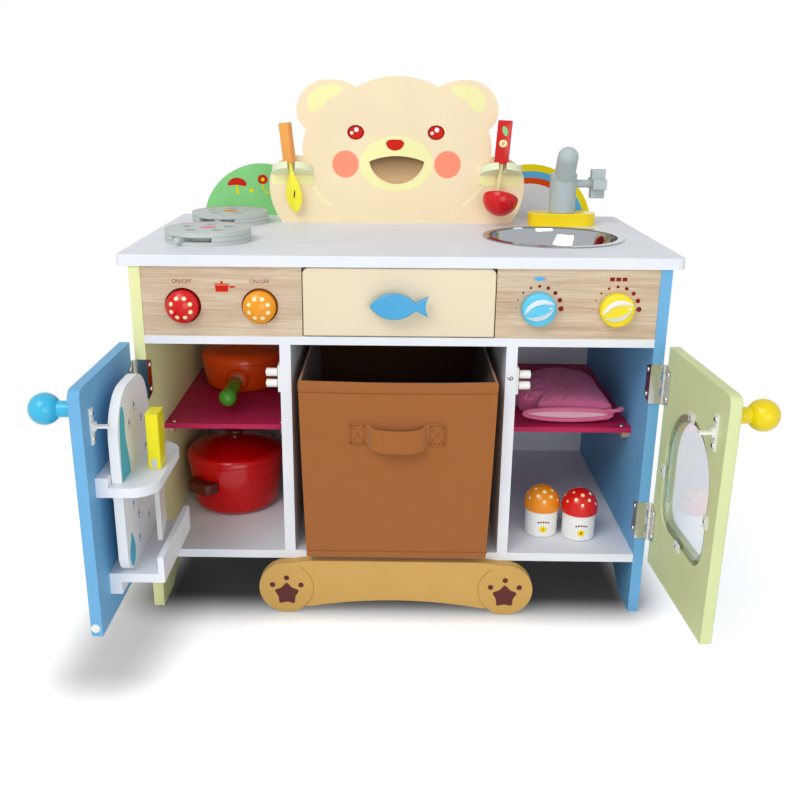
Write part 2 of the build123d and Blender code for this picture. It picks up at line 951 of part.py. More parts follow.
def knob(side):
    foot_x = face_x + board
    y = pin_y - knob_u
    neck = rod((foot_x, y, knob_z), (1, 0, 0), knob_neck, knob_reach)
    ball = Pos(foot_x + knob_reach, y, knob_z) * Sphere(knob_r)
    part = neck + ball
    return part if side > 0 else mirrored(part)


def strike(side):
    parts = [(strike_plate_w, 0, strike_plate_t, strike_plate_h),
             (strike_w, strike_plate_t, strike_foot, strike_foot_h),
             (strike_w, strike_plate_t, strike_reach, strike_t)]
    plate, foot, tongue = [door_block(side, knob_u - wide / 2, knob_u + wide / 2, s0, s1,
                                      catch_z - high / 2, catch_z + high / 2)
                           for wide, s0, s1, high in parts]
    return plate + foot + tongue


def roller_catches():
    parts = []
    x0 = bay_out
    plate = block(x0, x0 + catch_t, catch_y - catch_front, catch_y + catch_rear,
                  catch_z - catch_half_h, catch_z + catch_half_h)
    start = x0 + catch_t + roller_set
    rollers = []
    for sign in (-1, 1):
        z = catch_z + sign * roller_space / 2
        plate += rod((x0 + catch_t, catch_y, z), (1, 0, 0), axle_r, 2 * roller_set + roller_w)
        roller = rod((start, catch_y, z), (1, 0, 0), roller_r, roller_w)
        bore = rod((x0, catch_y, z), (1, 0, 0), axle_r + axle_gap, 2 * roller_w)
        rollers.append(roller - bore)
    for piece in [plate] + rollers:
        parts += [piece, mirrored(piece)]
    return parts


def rack_upper():
    low = rack_z - rack_t
    reach = rack_reach
    middle = (rack_near + rack_far) / 2
    outline = RectangleRounded(rack_far - rack_near, 2 * reach, rack_round)
    half = Pos(0, reach) * Rectangle(rack_far - rack_near, 2 * reach)
    plan = Pos(middle, 0) * (outline & half)
    slot_u1 = cut_board_near + cut_board_w
    slot_s0 = rack_batten + slot_gap / 2
    slot = Pos((cut_board_near + slot_u1) / 2, slot_s0 + cut_board_t / 2)
    plan -= slot * Rectangle(cut_board_w + 2 * slot_gap, cut_board_t + slot_gap)
    plan -= Pos(knife_u, knife_s) * Rectangle(blade_w + 2 * slot_gap, blade_t + 2 * slot_gap)
    plate = door_plan(plan, low, rack_t)
    batten = door_block(-1, rack_near + rack_batten_set, rack_far, 0, rack_batten,
                        rack_z, low + rack_batten_h)
    return plate + batten


def door_plan(plan, z_low, thick):
    """A plate that lies flat on the left door; its outline is drawn in u and s."""
    part = extrude(Plane.XY.offset(z_low) * plan, thick)
    return Pos(-face_x, pin_y, 0) * (Rot(0, 0, -90) * part)


def rack_lower():
    low = tray_z - tray_t
    plate = door_block(-1, tray_near, tray_far, 0, tray_reach, low, tray_z)
    batten = door_block(-1, tray_near, tray_far, 0, rack_batten, tray_z - tray_batten_h, low)
    lip = door_block(-1, tray_near, tray_far, tray_reach - lip_t, tray_reach, low, low + lip_h)
    return plate + batten + lip


def cutting_board():
    u1 = cut_board_near + cut_board_w
    low = tray_z + seat
    high = low + cut_board_h
    spring_z = high - cut_board_crown
    outline = make_face([
        Line((cut_board_near, low), (u1, low)),
        Line((u1, low), (u1, spring_z)),
        ThreePointArc((u1, spring_z), ((cut_board_near + u1) / 2, high), (cut_board_near, spring_z)),
        Line((cut_board_near, spring_z), (cut_board_near, low)),
    ])
    outline = fillet(outline.vertices().group_by(Axis.Y)[0], cut_board_round)
    slab = door_outline(outline, -1, rack_batten + slot_gap, cut_board_t)
    return fillet(slab.faces().sort_by(Axis.X)[-1].edges(), cut_board_ease)


def knife():
    low = rack_z + seat
    half = knife_grip_w / 2
    grip = door_block(-1, knife_u - half, knife_u + half, knife_s - knife_grip_t / 2,
                      knife_s + knife_grip_t / 2, low, low + knife_grip_h)
    grip = fillet(grip.edges().filter_by(Axis.Z), 2)
    low_edge = low - blade_h
    near = knife_u - blade_w / 2
    far = knife_u + blade_w / 2
    outline = make_face([
        Line((near, low), (far, low)),
        Line((far, low), (far, low_edge)),
        ThreePointArc((far, low_edge), (knife_u, low_edge + blade_curve), (near, low_edge + blade_nose)),
        Line((near, low_edge + blade_nose), (near, low)),
    ])
    return [grip, door_outline(outline, -1, knife_s - blade_t / 2, blade_t)]


# Storage bin

def bin_form(inset, low, high):
    """A block between two heights above the bin's foot; its sides lean out on the way up."""
    lean = (bin_half - bin_foot_half) / bin_h
    foot = bin_foot_half + lean * low - inset
    rim = bin_foot_half + lean * high - inset
    base_z = floor_z + seat
    outline = Polyline((-foot, base_z + low), (foot, base_z + low), (rim, base_z + high),
                       (-rim, base_z + high), close=True)
    return across(make_face(outline.edges()), bin_front + inset, bin_d - 2 * inset)


def bin_box():
    outside = bin_form(0, 0, bin_h)
    corners = outside.edges().filter_by(lambda edge: abs(edge.tangent_at(0).Z) > 0.9)
    return fillet(corners, bin_round) - bin_form(bin_wall, bin_wall, bin_h + 1)


def bin_strap():
    half = strap_w / 2
    tip = half + strap_tab
    root = half + strap_t
    back = bin_front
    skin = bin_front - strap_t
    plan = make_face([
        Line((-tip, back), (-half, back)),
        ThreePointArc((-half, back), (0, back - strap_reach), (half, back)),
        Line((half, back), (tip, back)),
        Line((tip, back), (tip, skin)),
        Line((tip, skin), (root, skin)),
        ThreePointArc((root, skin), (0, skin - strap_reach), (-root, skin)),
        Line((-root, skin), (-tip, skin)),
        Line((-tip, skin), (-tip, back)),
    ])
    return flat(plan, strap_z - strap_h / 2, strap_h)


# Pots, pans and what else is stored

def vessel(rim_r, foot_r, height, wall, foot_round):
    """A round pan that narrows to a rounded foot, open at the top."""
    outside = Cone(foot_r, rim_r, height, align=BOTTOM)
    outside = fillet(outside.edges().sort_by(Axis.Z)[0], foot_round)
    inside = Pos(0, 0, wall) * Cone(foot_r - wall, rim_r - wall, height, align=BOTTOM)
    inside = fillet(inside.edges().sort_by(Axis.Z)[0], foot_round - wall)
    mouth = Pos(0, 0, height - wall) * Cylinder(rim_r - wall, 2 * wall, align=BOTTOM)
    return outside - inside - mouth


def spherical_cap(radius, rise):
    sphere_r = (radius ** 2 + rise ** 2) / (2 * rise)
    ball = Pos(0, 0, rise - sphere_r) * Sphere(sphere_r)
    return ball & Cylinder(radius + 1, rise + 1, align=BOTTOM)


def domed_solid(radius, edge, rise):
    """A disc with a round shoulder and a shallow dome on it."""
    shoulder = edge * 0.9
    disc = Cylinder(radius, edge, align=BOTTOM)
    disc = fillet(disc.edges().sort_by(Axis.Z)[-1], shoulder)
    return disc + Pos(0, 0, edge) * spherical_cap(radius - shoulder, rise - edge)


def domed_lid(radius, edge, rise, wall):
    """A hollow domed lid, one wall thick, open below."""
    hollow = domed_solid(radius - wall, edge - wall, rise - wall)
    return domed_solid(radius, edge, rise) - hollow


def lid_knob(rise, radius, height):
    stem = Pos(0, 0, rise - 1) * Cylinder(radius * 0.55, height * 0.5, align=BOTTOM)
    cap = Pos(0, 0, rise - 1 + height * 0.4) * Cylinder(radius, height * 0.6, align=BOTTOM)
    cap = fillet(cap.edges(), height * 0.25)
    return stem + cap


def saucepan():
    low = shelf_z + seat
    pan = Pos(pan_x, pan_y, low) * vessel(pan_r, pan_foot_r, pan_h, pan_wall, pan_round)
    axis_z = low + grip_z
    start = pan_y - pan_r + boss_sink
    boss = rod((pan_x, start, axis_z), (0, -1, 0), boss_r, boss_t)
    ferrule = rod((pan_x, start - boss_t, axis_z), (0, -1, 0), ferrule_r, ferrule_t)
    near = start - boss_t - ferrule_t
    far = start - grip_len + grip_r
    grip = rod((pan_x, near, axis_z), (0, -1, 0), grip_r, near - far)
    grip += Pos(pan_x, far, axis_z) * Sphere(grip_end_r)
    return [pan + boss, ferrule, grip]


def saucepan_lid():
    low = shelf_z + seat + pan_h + seat
    lid = domed_lid(pan_r + 1, pan_lid_edge, pan_lid_rise, pan_lid_wall)
    return Pos(pan_x, pan_y, low) * (lid + lid_knob(pan_lid_rise, pan_knob_r, pan_knob_h))


def stew_pot():
    pot = vessel(pot_r, pot_foot_r, pot_h, pot_wall, pot_round)
    grips = []
    for side in (-1, 1):
        grip = fillet(Box(*pot_grip).edges().filter_by(Axis.Z), pot_grip_round)
        grip = fillet(grip.edges().filter_by(Axis.Z, reverse=True), pot_grip_ease)
        place = Pos(side * (pot_r + pot_grip_out), 0, pot_grip_z)
        grips.append(place * grip - Cylinder(pot_r - pot_grip_out, 3 * pot_h))
    stand = Pos(pot_x, pot_y, floor_z + seat) * Rot(0, 0, pot_grip_turn)
    return [stand * (pot - grips[0] - grips[1]), stand * grips[0], stand * grips[1]]


def stew_pot_lid():
    low = floor_z + seat + pot_h + seat
    lid = domed_lid(pot_r + 1, pot_lid_edge, pot_lid_rise, pot_lid_wall)
    return Pos(pot_x, pot_y, low) * (lid + lid_knob(pot_lid_rise, pot_knob_r, pot_knob_h))


def oven_mitt():
    middle_y = mitt_y + mitt_d / 2
    hand = Pos(mitt_x + mitt_shift, middle_y) * SlotOverall(mitt_d, mitt_w, rotation=90)
    thumb_spot = Pos(mitt_x - mitt_w / 2, mitt_y + mitt_thumb_y)
    lobe = SlotOverall(mitt_thumb_l, mitt_thumb_w, rotation=90)
    thumb = thumb_spot * (Rot(0, 0, mitt_thumb_turn) * lobe)
    cuff = Pos(mitt_x + mitt_shift, mitt_y + mitt_cuff / 2) * Rectangle(mitt_w, mitt_cuff)
    pad = flat(hand + thumb + cuff, shelf_z + seat, mitt_h)
    return fillet(pad.faces().sort_by(Axis.Z)[-1].edges(), mitt_crown)


def mushroom_cap(radius, height):
    """A cap that bulges to its full radius a little above its rim."""
    ball = Pos(0, 0, height - radius) * Sphere(radius)
    return ball & Cylinder(radius + 1, height + 1, align=BOTTOM)


def shaker(x, y):
    low = floor_z + seat
    body = Pos(x, y, low) * Cylinder(shaker_r, shaker_h, align=BOTTOM)
    body = fillet(body.edges().sort_by(Axis.Z)[0], 2)
    cap = Pos(x, y, low + shaker_h) * mushroom_cap(cap_r, cap_h)
    return [body, cap]


# Utensils in the holders

def utensil_grip(x, size):
    wide, thick, high = size
    grip = Pos(x, utensil_y, grip_low) * Box(wide, thick, high, align=BOTTOM)
    return fillet(grip.edges().filter_by(Axis.Z), grip_ease)


def spatula():
    x = bear_x - holder_x
    wide, high, thick = spatula_blade
    neck = spatula_neck_w / 2
    root = -spatula_neck_h
    outline = make_face([
        Line((-neck, 0), (neck, 0)),
        Line((neck, 0), (neck, root)),
        ThreePointArc((neck, root), (wide / 2, -high / 2), (0, -high)),
        ThreePointArc((0, -high), (-wide / 2, -high / 2), (-neck, root)),
        Line((-neck, root), (-neck, 0)),
    ])
    slot = Pos(0, -spatula_slot_z) * SlotOverall(spatula_slot_h, spatula_slot_w, rotation=90)
    blade = extrude(Plane.XZ.offset(-thick / 2) * (outline - slot), thick)
    blade = Pos(x, utensil_y, grip_low) * (Rot(0, 0, spatula_turn) * blade)
    return [utensil_grip(x, spatula_grip), blade]


def ladle():
    x = bear_x + holder_x
    rim = grip_low - ladle_drop
    bowl_y = utensil_y - ladle_bowl_r + ladle_bowl_wall
    reach = 2 * ladle_bowl_r
    bowl = Sphere(ladle_bowl_r) & block(-reach, reach, -reach, reach, -reach, 0)
    bowl -= Pos(0, -ladle_bowl_wall, 0) * Sphere(ladle_hollow_r)
    bowl = Pos(x, bowl_y, rim) * bowl
    shaft = Pos(x, utensil_y, rim) * Cylinder(ladle_shaft_r, ladle_drop, align=BOTTOM)
    return [utensil_grip(x, ladle_grip), shaft, bowl]


BUILDERS = {
    "worktop": worktop,
    "side_panel_left": lambda: side_panel(-1),
    "side_panel_right": lambda: side_panel(1),
    "floor_panel": floor_panel,
    "mid_panel": mid_panel,
    "dividers": dividers,
    "back_panel": back_panel,
    "drawer_bay_walls": drawer_bay_walls,
    "range_panel": range_panel,
    "oven_panel": oven_panel,
    "shelves": shelves,
    "shelf_cleats": shelf_cleats,
    "plinth_board": plinth_board,
    "bear_backboard": bear_backboard,
    "utensil_holders": utensil_holders,
    "hill_panel": hill_panel,
    "rainbow_panel": rainbow_panel,
    "sink_bowl": sink_bowl,
    "faucet_base": faucet_base,
    "faucet_body": faucet_body,
    "tap_handle": tap_handle,
    "hob_housings": hob_housings,
    "hob_disc_front": lambda: hob_disc(hob_front_y, lever_front),
    "hob_disc_rear": lambda: hob_disc(hob_rear_y, lever_rear),
    "drawer_front": drawer_front,
    "drawer_box": drawer_box,
    "fish_handle": fish_handle,
    "button_red": lambda: button(-knob_out),
    "button_orange": lambda: button(-knob_in),
    "button_guides": button_guides,
    "button_spring_red": lambda: button_spring(-knob_out),
    "button_spring_orange": lambda: button_spring(-knob_in),
    "dial_blue": lambda: dial(knob_in),
    "dial_yellow": lambda: dial(knob_out),
    "hinges_fixed": hinges_fixed,
    "hinge_leaves_left": lambda: hinge_leaves(-1),
    "hinge_leaves_right": lambda: hinge_leaves(1),
    "door_left": lambda: mirrored(door_blank()),
    "door_right": door_right,
    "window_pane": window_pane,
    "window_tabs": window_tabs,
    "knob_left": lambda: knob(-1),
    "knob_right": lambda: knob(1),
    "strike_left": lambda: strike(-1),
    "strike_right": lambda: strike(1),
    "roller_catches": roller_catches,
    "rack_upper": rack_upper,
    "rack_lower": rack_lower,
    "cutting_board": cutting_board,
    "knife": knife,
    "storage_bin": lambda: [bin_box(), bin_strap()],
    "saucepan": saucepan,
    "saucepan_lid": saucepan_lid,
    "stew_pot": stew_pot,
    "stew_pot_lid": stew_pot_lid,
    "oven_mitt": oven_mitt,
    "pepper_shaker": lambda: shaker(pepper_x, pepper_y),
    "salt_shaker": lambda: shaker(salt_x, salt_y),
    "spatula": spatula,
    "ladle": ladle,
}

RIGHT_DOOR = ("door_right", "window_pane", "window_tabs", "knob_right", "hinge_leaves_right",
              "strike_right")


def pieces_of(name):
    """A node's solids where they stand when the toy is at rest."""
    made = BUILDERS[name]()
    pieces = made if isinstance(made, list) else [made]
    if name not in RIGHT_DOOR:
        return pieces
    swing = Pos(pin_x, pin_y, 0) * Rot(0, 0, right_ajar) * Pos(-pin_x, -pin_y, 0)
    return [swing * piece for piece in pieces]


def main():
    os.makedirs("parts", exist_ok=True)
    for name in BUILDERS:
        moved = [Pos(*origin_shift) * piece for piece in pieces_of(name)]
        shape = moved[0] if len(moved) == 1 else Compound(label=name, children=moved)
        export_step(shape, "parts/" + name + ".step")


if __name__ == "__main__":
    main()
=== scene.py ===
import math

import bmesh
import bpy
from bpy.props import FloatProperty, FloatVectorProperty, IntProperty, PointerProperty
from bpy.types import Operator, Panel, PropertyGroup
from mathutils import Matrix, Vector, noise


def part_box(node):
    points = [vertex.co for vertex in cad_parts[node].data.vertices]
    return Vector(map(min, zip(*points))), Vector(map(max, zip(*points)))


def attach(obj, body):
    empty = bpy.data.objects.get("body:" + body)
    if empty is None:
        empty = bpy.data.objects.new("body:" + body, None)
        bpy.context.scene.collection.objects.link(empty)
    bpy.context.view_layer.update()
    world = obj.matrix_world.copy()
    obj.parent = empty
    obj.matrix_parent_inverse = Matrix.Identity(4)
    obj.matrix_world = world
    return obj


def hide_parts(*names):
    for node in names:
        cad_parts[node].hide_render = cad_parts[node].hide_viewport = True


bl_info = {
    "name": "Play kitchen",
    "version": (1, 0, 0),
    "blender": (4, 5, 0),
    "location": "View3D > Sidebar > Play kitchen",
    "description": "Finishes, cloth, prints and small hardware of a child's play kitchen",
    "category": "Object",
}

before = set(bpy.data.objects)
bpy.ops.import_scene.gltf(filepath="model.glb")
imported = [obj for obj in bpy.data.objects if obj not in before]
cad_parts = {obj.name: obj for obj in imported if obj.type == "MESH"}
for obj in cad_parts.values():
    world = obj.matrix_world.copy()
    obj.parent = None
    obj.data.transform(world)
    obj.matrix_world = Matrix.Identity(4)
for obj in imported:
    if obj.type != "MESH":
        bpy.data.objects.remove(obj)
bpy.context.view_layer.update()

MM = 0.001
X = Vector((1, 0, 0))
Y = Vector((0, 1, 0))
Z = Vector((0, 0, 1))
FRONT_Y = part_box("side_panel_left")[0].y
TOP_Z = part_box("worktop")[1].z
PIN = Vector((288.5 * MM, FRONT_Y - 3 * MM, 0))
DOOR_AJAR = math.radians(2.5)
WHITE = (1, 1, 1, 1)
HOLDER_U = 134


# Colours and lengths

def tone(red, green, blue):
    """A colour as a screen shows it, 0 to 255 a channel, as Blender's linear colour."""
    def channel(value):
        value /= 255
        return value / 12.92 if value <= 0.04045 else ((value + 0.055) / 1.055) ** 2.4
    return (channel(red), channel(green), channel(blue), 1.0)


def paint(key, description, red, green, blue):
    return FloatVectorProperty(name=key.replace("_", " ").capitalize(), description=description, size=4,
                               subtype="COLOR", min=0, max=1, default=tone(red, green, blue))


def length(name, description, millimetres):
    return FloatProperty(name=name, description=description, default=millimetres * MM,
                         min=0, subtype="DISTANCE", unit="LENGTH", precision=4)


def at(x, y, z):
    """A point in millimetres: X from the middle, Y back from the cabinet's front, Z up."""
    return Vector((x * MM, FRONT_Y + y * MM, z * MM))


PAINTS = {
    "white_paint": ("Worktop, dividers, floor and racks", 232, 236, 243),
    "pale_yellow_paint": ("Left side panel", 234, 237, 176),
    "sky_blue_paint": ("Right side panel and left door", 112, 176, 222),
    "pale_green_paint": ("Right door", 216, 226, 170),
    "bare_wood_light": ("Pale bands of the bare wood", 222, 204, 180),
    "bare_wood_dark": ("Dark bands of the bare wood", 190, 162, 134),
    "cream_paint": ("Drawer front", 232, 218, 190),
    "fish_blue": ("Drawer handle", 70, 165, 215),
    "knob_blue": ("Left door's knob", 60, 185, 225),
    "knob_yellow": ("Right door's knob", 236, 212, 0),
    "plinth_tan": ("Bone-shaped plinth", 206, 164, 92),
    # Also the thin dark rings of painted shade round the button wells.
    "paw_print_and_well_shade": ("Paw prints on the plinth", 96, 50, 48),
    "bear_cream": ("Bear board", 245, 227, 190),
    "bear_patch": ("Ears, muzzle and paws", 246, 243, 178),
    "bear_mouth": ("Inside of the mouth", 206, 172, 130),
    # Painted shade in the mouth under its upper lip.
    "mouth_dark": ("Mouth under its upper lip", 122, 94, 62),
    "nose_red": ("Nose and eyes", 206, 32, 12),
    "eye_rim": ("Rims of the eyes", 150, 18, 12),
    "cheek_pink": ("Cheeks", 252, 150, 120),
    "arm_line": ("Pale lines of the arms", 250, 243, 196),
    "hill_green": ("Hill board", 140, 216, 138),
    "rainbow_yellow": ("Outer band and board edge", 242, 222, 0),
    "rainbow_blue": ("Middle band", 92, 178, 232),
    "rainbow_red": ("Inner band", 226, 76, 14),
    # Also used for painted shade on the floors of the hob holes, and for fine seam lines.
    "seam_grey_and_hole_shade": ("Floors of the hob holes", 150, 158, 158),
    "hob_grey": ("Hob plates and levers", 196, 204, 201),
    "disc_pink": ("Front hob's middle", 230, 146, 164),
    "disc_orange": ("Rear hob's middle", 236, 140, 62),
    # Painted shade behind the gaps round the drawer front.
    "painted_gap_shade": ("Depths of holes", 30, 29, 30),
    "letter_grey": ("Number on the divider", 60, 58, 62),
    "tap_grey": ("Faucet and tap handle", 186, 199, 201),
    "tap_yellow": ("Faucet base", 255, 224, 0),
    "shelf_pink": ("Both shelves", 190, 36, 84),
    "button_red": ("Left button", 212, 10, 10),
    "button_orange": ("Right button", 240, 156, 26),
    "dot_cream": ("Dots on buttons and caps", 250, 240, 190),
    "print_red": ("Marks and letters on the bare wood", 132, 24, 22),
    "dial_blue": ("Left dial", 92, 200, 236),
    "dial_yellow": ("Right dial", 244, 222, 14),
    "white_plastic": ("Strikes, catches and tabs", 236, 236, 232),
    "holder_green": ("Utensil holders", 232, 240, 205),
    "board_white": ("Cutting board", 240, 242, 245),
    "print_blue": ("Print on the cutting board", 84, 182, 206),
    "print_navy": ("Small marks on the cutting board", 60, 120, 176),
    "knife_yellow": ("Knife grip", 244, 232, 20),
    "blade_grey": ("Knife blade", 206, 208, 206),
    "bin_brown": ("Storage bin", 160, 98, 48),
    # Painted shade on the inner walls and floor of the storage bin.
    "bin_inside_painted_shade": ("Inside of the storage bin", 74, 48, 30),
    "stitch_brown": ("Thread on the bin", 120, 72, 38),
    "pan_orange": ("Saucepan", 232, 76, 8),
    "pot_red": ("Stew pot", 192, 4, 4),
    "grip_brown": ("Stew pot grips", 84, 26, 16),
    "leaf_green": ("Saucepan grip and small leaves", 70, 150, 40),
    "mitt_pink": ("Oven mitt", 238, 118, 164),
    "mitt_lining": ("Inside of the oven mitt", 244, 196, 212),
    "shaker_white": ("Shaker bodies", 240, 240, 238),
    "shaker_orange": ("Left shaker's cap", 236, 140, 20),
    "shaker_red": ("Right shaker's cap", 216, 22, 16),
    "spatula_orange": ("Spatula grip", 242, 166, 82),
    "spatula_yellow": ("Spatula blade", 250, 240, 62),
    "ladle_red": ("Ladle grip and bowl", 212, 14, 14),
    "ladle_shaft": ("Ladle shaft", 240, 230, 172),
}


class KitchenPaints(PropertyGroup):
    """Colours of the boards, prints, plastics and cloths."""
    __annotations__ = {key: paint(key, *row) for key, row in PAINTS.items()}


class KitchenSizes(PropertyGroup):
    """Sizes of the cloth, prints and small hardware."""
    print_film: length("Print film", "Thickness of a printed mark", 0.12)
    stitch: length("Stitch", "Length of one stitch", 3.2)
    stitch_gap: length("Stitch gap", "From the middle of one stitch to the next", 4.6)
    thread: length("Thread", "Radius of the sewing thread", 0.35)
    bin_wall: length("Bin wall", "Thickness of the bin's lined walls", 3.6)
    bin_taper: length("Bin taper", "How much narrower each side is at the foot", 5.5)
    quilt_pitch: length("Quilt pitch", "Distance between the mitt's sewn lines", 19)
    quilt_depth: length("Quilt depth", "Depth of the mitt's sewn lines", 2.4)
    screw: length("Screw head", "Radius of a small screw head", 2.9)
    dial_dot: length("Dial dot", "Radius of the largest dot round a dial", 2.8)
    button_dot: length("Button dot", "Radius of a dot on a button", 2.3)


class KitchenLight(PropertyGroup):
    """The studio that the toy is shown in."""
    room: FloatProperty(name="Room light", description="Strength of the even light", default=0.48, min=0)
    key: FloatProperty(name="Key lamp", description="Power of the large lamp", default=35, min=0,
                       unit="POWER")
    fill: FloatProperty(name="Fill lamp", description="Power of the second lamp", default=15, min=0,
                        unit="POWER")
    floor_glow: FloatProperty(name="Floor lift", description="How far the floor is lifted to white",
                              default=0.5, min=0)
    steps: IntProperty(name="Curve steps", description="Points in a quarter of a printed circle",
                       default=12, min=3)


# Node groups

def add(tree, kind, inputs=None, **settings):
    """A node with its settings and inputs; an input may be another node's socket."""
    node = tree.nodes.new(kind)
    for key, value in settings.items():
        setattr(node, key, value)
    for key, value in (inputs or {}).items():
        if isinstance(value, bpy.types.NodeSocket):
            tree.links.new(value, node.inputs[key])
        else:
            node.inputs[key].default_value = value
    return node


def shader_group(name, inputs, outputs):
    tree = bpy.data.node_groups.new(name, "ShaderNodeTree")
    for label, kind, value in inputs:
        socket = tree.interface.new_socket(label, in_out="INPUT", socket_type="NodeSocket" + kind)
        if value is not None:
            socket.default_value = value
    for label, kind in outputs:
        tree.interface.new_socket(label, in_out="OUTPUT", socket_type="NodeSocket" + kind)
    return tree, add(tree, "NodeGroupInput").outputs, add(tree, "NodeGroupOutput").inputs


def cloud(tree, place, scale, detail=2.0, rough=0.5):
    """A soft noise value over the surface."""
    return add(tree, "ShaderNodeTexNoise", {"Vector": place, "Scale": scale, "Detail": detail,
                                            "Roughness": rough}).outputs["Fac"]


def spread(tree, value, low, high, to_low, to_high):
    return add(tree, "ShaderNodeMapRange", {"Value": value, "From Min": low, "From Max": high,
                                            "To Min": to_low, "To Max": to_high}).outputs["Result"]


def shade(tree, colour, value):
    """A colour made lighter or darker by a value about 1."""
    scaled = add(tree, "ShaderNodeVectorMath", {0: colour, "Scale": value}, operation="SCALE")
    return scaled.outputs["Vector"]


def wire(tree, inputs, sockets):
    """Joins sockets to a node's inputs by name."""
    for key, socket in sockets.items():
        tree.links.new(socket, inputs[key])


def calc(tree, operation, *values):
    """One step of arithmetic on numbers or sockets."""
    return add(tree, "ShaderNodeMath", dict(enumerate(values)), operation=operation).outputs[0]


def vector_calc(tree, operation, *values):
    """One step of arithmetic on vectors."""
    node = add(tree, "ShaderNodeVectorMath", dict(enumerate(values)), operation=operation)
    return node.outputs["Value" if operation == "LENGTH" else "Vector"]


def paint_film_group():
    """Sprayed paint: a slight drift of colour, uneven gloss and a fine orange peel."""
    tree, given, out = shader_group(
        "Paint film",
        [("Place", "Vector", None), ("Colour", "Color", WHITE), ("Drift", "Float", 0.03),
         ("Gloss", "Float", 0.35), ("Peel", "Float", 900.0)],
        [("Colour", "Color"), ("Roughness", "Float"), ("Height", "Float")])
    drift = spread(tree, cloud(tree, given["Place"], 14.0), 0.3, 0.7, -1.0, 1.0)
    amount = calc(tree, "MULTIPLY_ADD", drift, given["Drift"], 1.0)
    rub = spread(tree, cloud(tree, given["Place"], 60.0, 4.0, 0.6), 0.3, 0.7, 0.9, 1.15)
    wire(tree, out, {"Colour": shade(tree, given["Colour"], amount),
                     "Roughness": calc(tree, "MULTIPLY", rub, given["Gloss"]),
                     "Height": cloud(tree, given["Place"], given["Peel"], 1.0)})
    return tree


def wood_grain_group():
    """Straight grain along X: broad bands, fine streaks and short pores."""
    tree, given, out = shader_group(
        "Wood grain",
        [("Place", "Vector", None), ("Light", "Color", WHITE), ("Dark", "Color", (0, 0, 0, 1))],
        [("Colour", "Color"), ("Height", "Float")])

    def streaked(along, across, detail, rough=0.5):
        place = vector_calc(tree, "MULTIPLY", given["Place"], (along, across, across))
        return cloud(tree, place, 1.0, detail, rough)

    bands = calc(tree, "MULTIPLY_ADD", streaked(5.0, 60.0, 4.0, 0.6), 0.55, 0.0)
    mixed = calc(tree, "MULTIPLY_ADD", streaked(14.0, 420.0, 3.0, 0.6), 0.45, bands)
    share = spread(tree, mixed, 0.36, 0.64, 0.0, 1.0)
    blend = add(tree, "ShaderNodeMix", {"Factor": share, "A": given["Light"], "B": given["Dark"]},
                data_type="RGBA")
    pitted = spread(tree, streaked(60.0, 1500.0, 1.0), 0.3, 0.45, 0.86, 1.0)
    wire(tree, out, {"Colour": shade(tree, blend.outputs["Result"], pitted), "Height": pitted})
    return tree


def nap_group():
    """Brushed cloth with a short nap: cloudy colour and a fuzzy surface."""
    tree, given, out = shader_group(
        "Cloth nap",
        [("Place", "Vector", None), ("Colour", "Color", WHITE), ("Clouds", "Float", 45.0),
         ("Fibres", "Float", 1800.0), ("Depth", "Float", 0.1)],
        [("Colour", "Color"), ("Roughness", "Float"), ("Height", "Float")])
    clouds = cloud(tree, given["Place"], given["Clouds"], 4.0)
    fibres = cloud(tree, given["Place"], given["Fibres"])
    centred = calc(tree, "SUBTRACT", calc(tree, "ADD", clouds, fibres), 1.0)
    amount = calc(tree, "MULTIPLY_ADD", centred, given["Depth"], 1.0)
    wire(tree, out, {"Colour": shade(tree, given["Colour"], amount),
                     "Roughness": spread(tree, clouds, 0.3, 0.7, 0.85, 0.98), "Height": fibres})
    return tree


def weave_group():
    """Plain cotton weave: threads crossing at right angles."""
    tree, given, out = shader_group(
        "Cotton weave",
        [("Place", "Vector", None), ("Colour", "Color", WHITE), ("Threads", "Float", 900.0)],
        [("Colour", "Color"), ("Height", "Float")])
    waves = [add(tree, "ShaderNodeTexWave", {"Vector": given["Place"], "Scale": given["Threads"],
                                             "Distortion": 0.6, "Detail": 1.0},
                 bands_direction=axis).outputs["Fac"] for axis in ("X", "Y")]
    crossed = calc(tree, "ADD", *waves)
    amount = calc(tree, "MULTIPLY_ADD", crossed, 0.04, 0.9)
    amount = calc(tree, "MULTIPLY_ADD", cloud(tree, given["Place"], 60.0, 3.0), 0.12, amount)
    wire(tree, out, {"Colour": shade(tree, given["Colour"], amount), "Height": crossed})
    return tree


def rubbed_metal_group():
    """Polished metal with faint rubbing marks."""
    tree, given, out = shader_group(
        "Rubbed metal",
        [("Place", "Vector", None), ("Polish", "Float", 0.08), ("Marks", "Float", 300.0)],
        [("Roughness", "Float"), ("Height", "Float")])
    marks = cloud(tree, given["Place"], given["Marks"], 5.0, 0.7)
    rough = calc(tree, "MULTIPLY", spread(tree, marks, 0.3, 0.75, 0.6, 1.7), given["Polish"])
    wire(tree, out, {"Roughness": rough, "Height": marks})
    return tree


GROUP_MAKERS = {"film": paint_film_group, "grain": wood_grain_group, "nap": nap_group,
                "weave": weave_group, "rubbed": rubbed_metal_group}
groups = {}
finishes = {}


def group_node(tree, which, inputs):
    if which not in groups:
        groups[which] = GROUP_MAKERS[which]()
    node = tree.nodes.new("ShaderNodeGroup")
    node.node_tree = groups[which]
    place = add(tree, "ShaderNodeTexCoord").outputs["Object"]
    tree.links.new(place, node.inputs["Place"])
    for key, value in inputs.items():
        node.inputs[key].default_value = value
    return node.outputs


def new_finish(name, shader_values):
    material = bpy.data.materials.new(name)
    material.use_nodes = True
    shader = material.node_tree.nodes["Principled BSDF"]
    for key, value in shader_values.items():
        shader.inputs[key].default_value = value
    return material, material.node_tree, shader


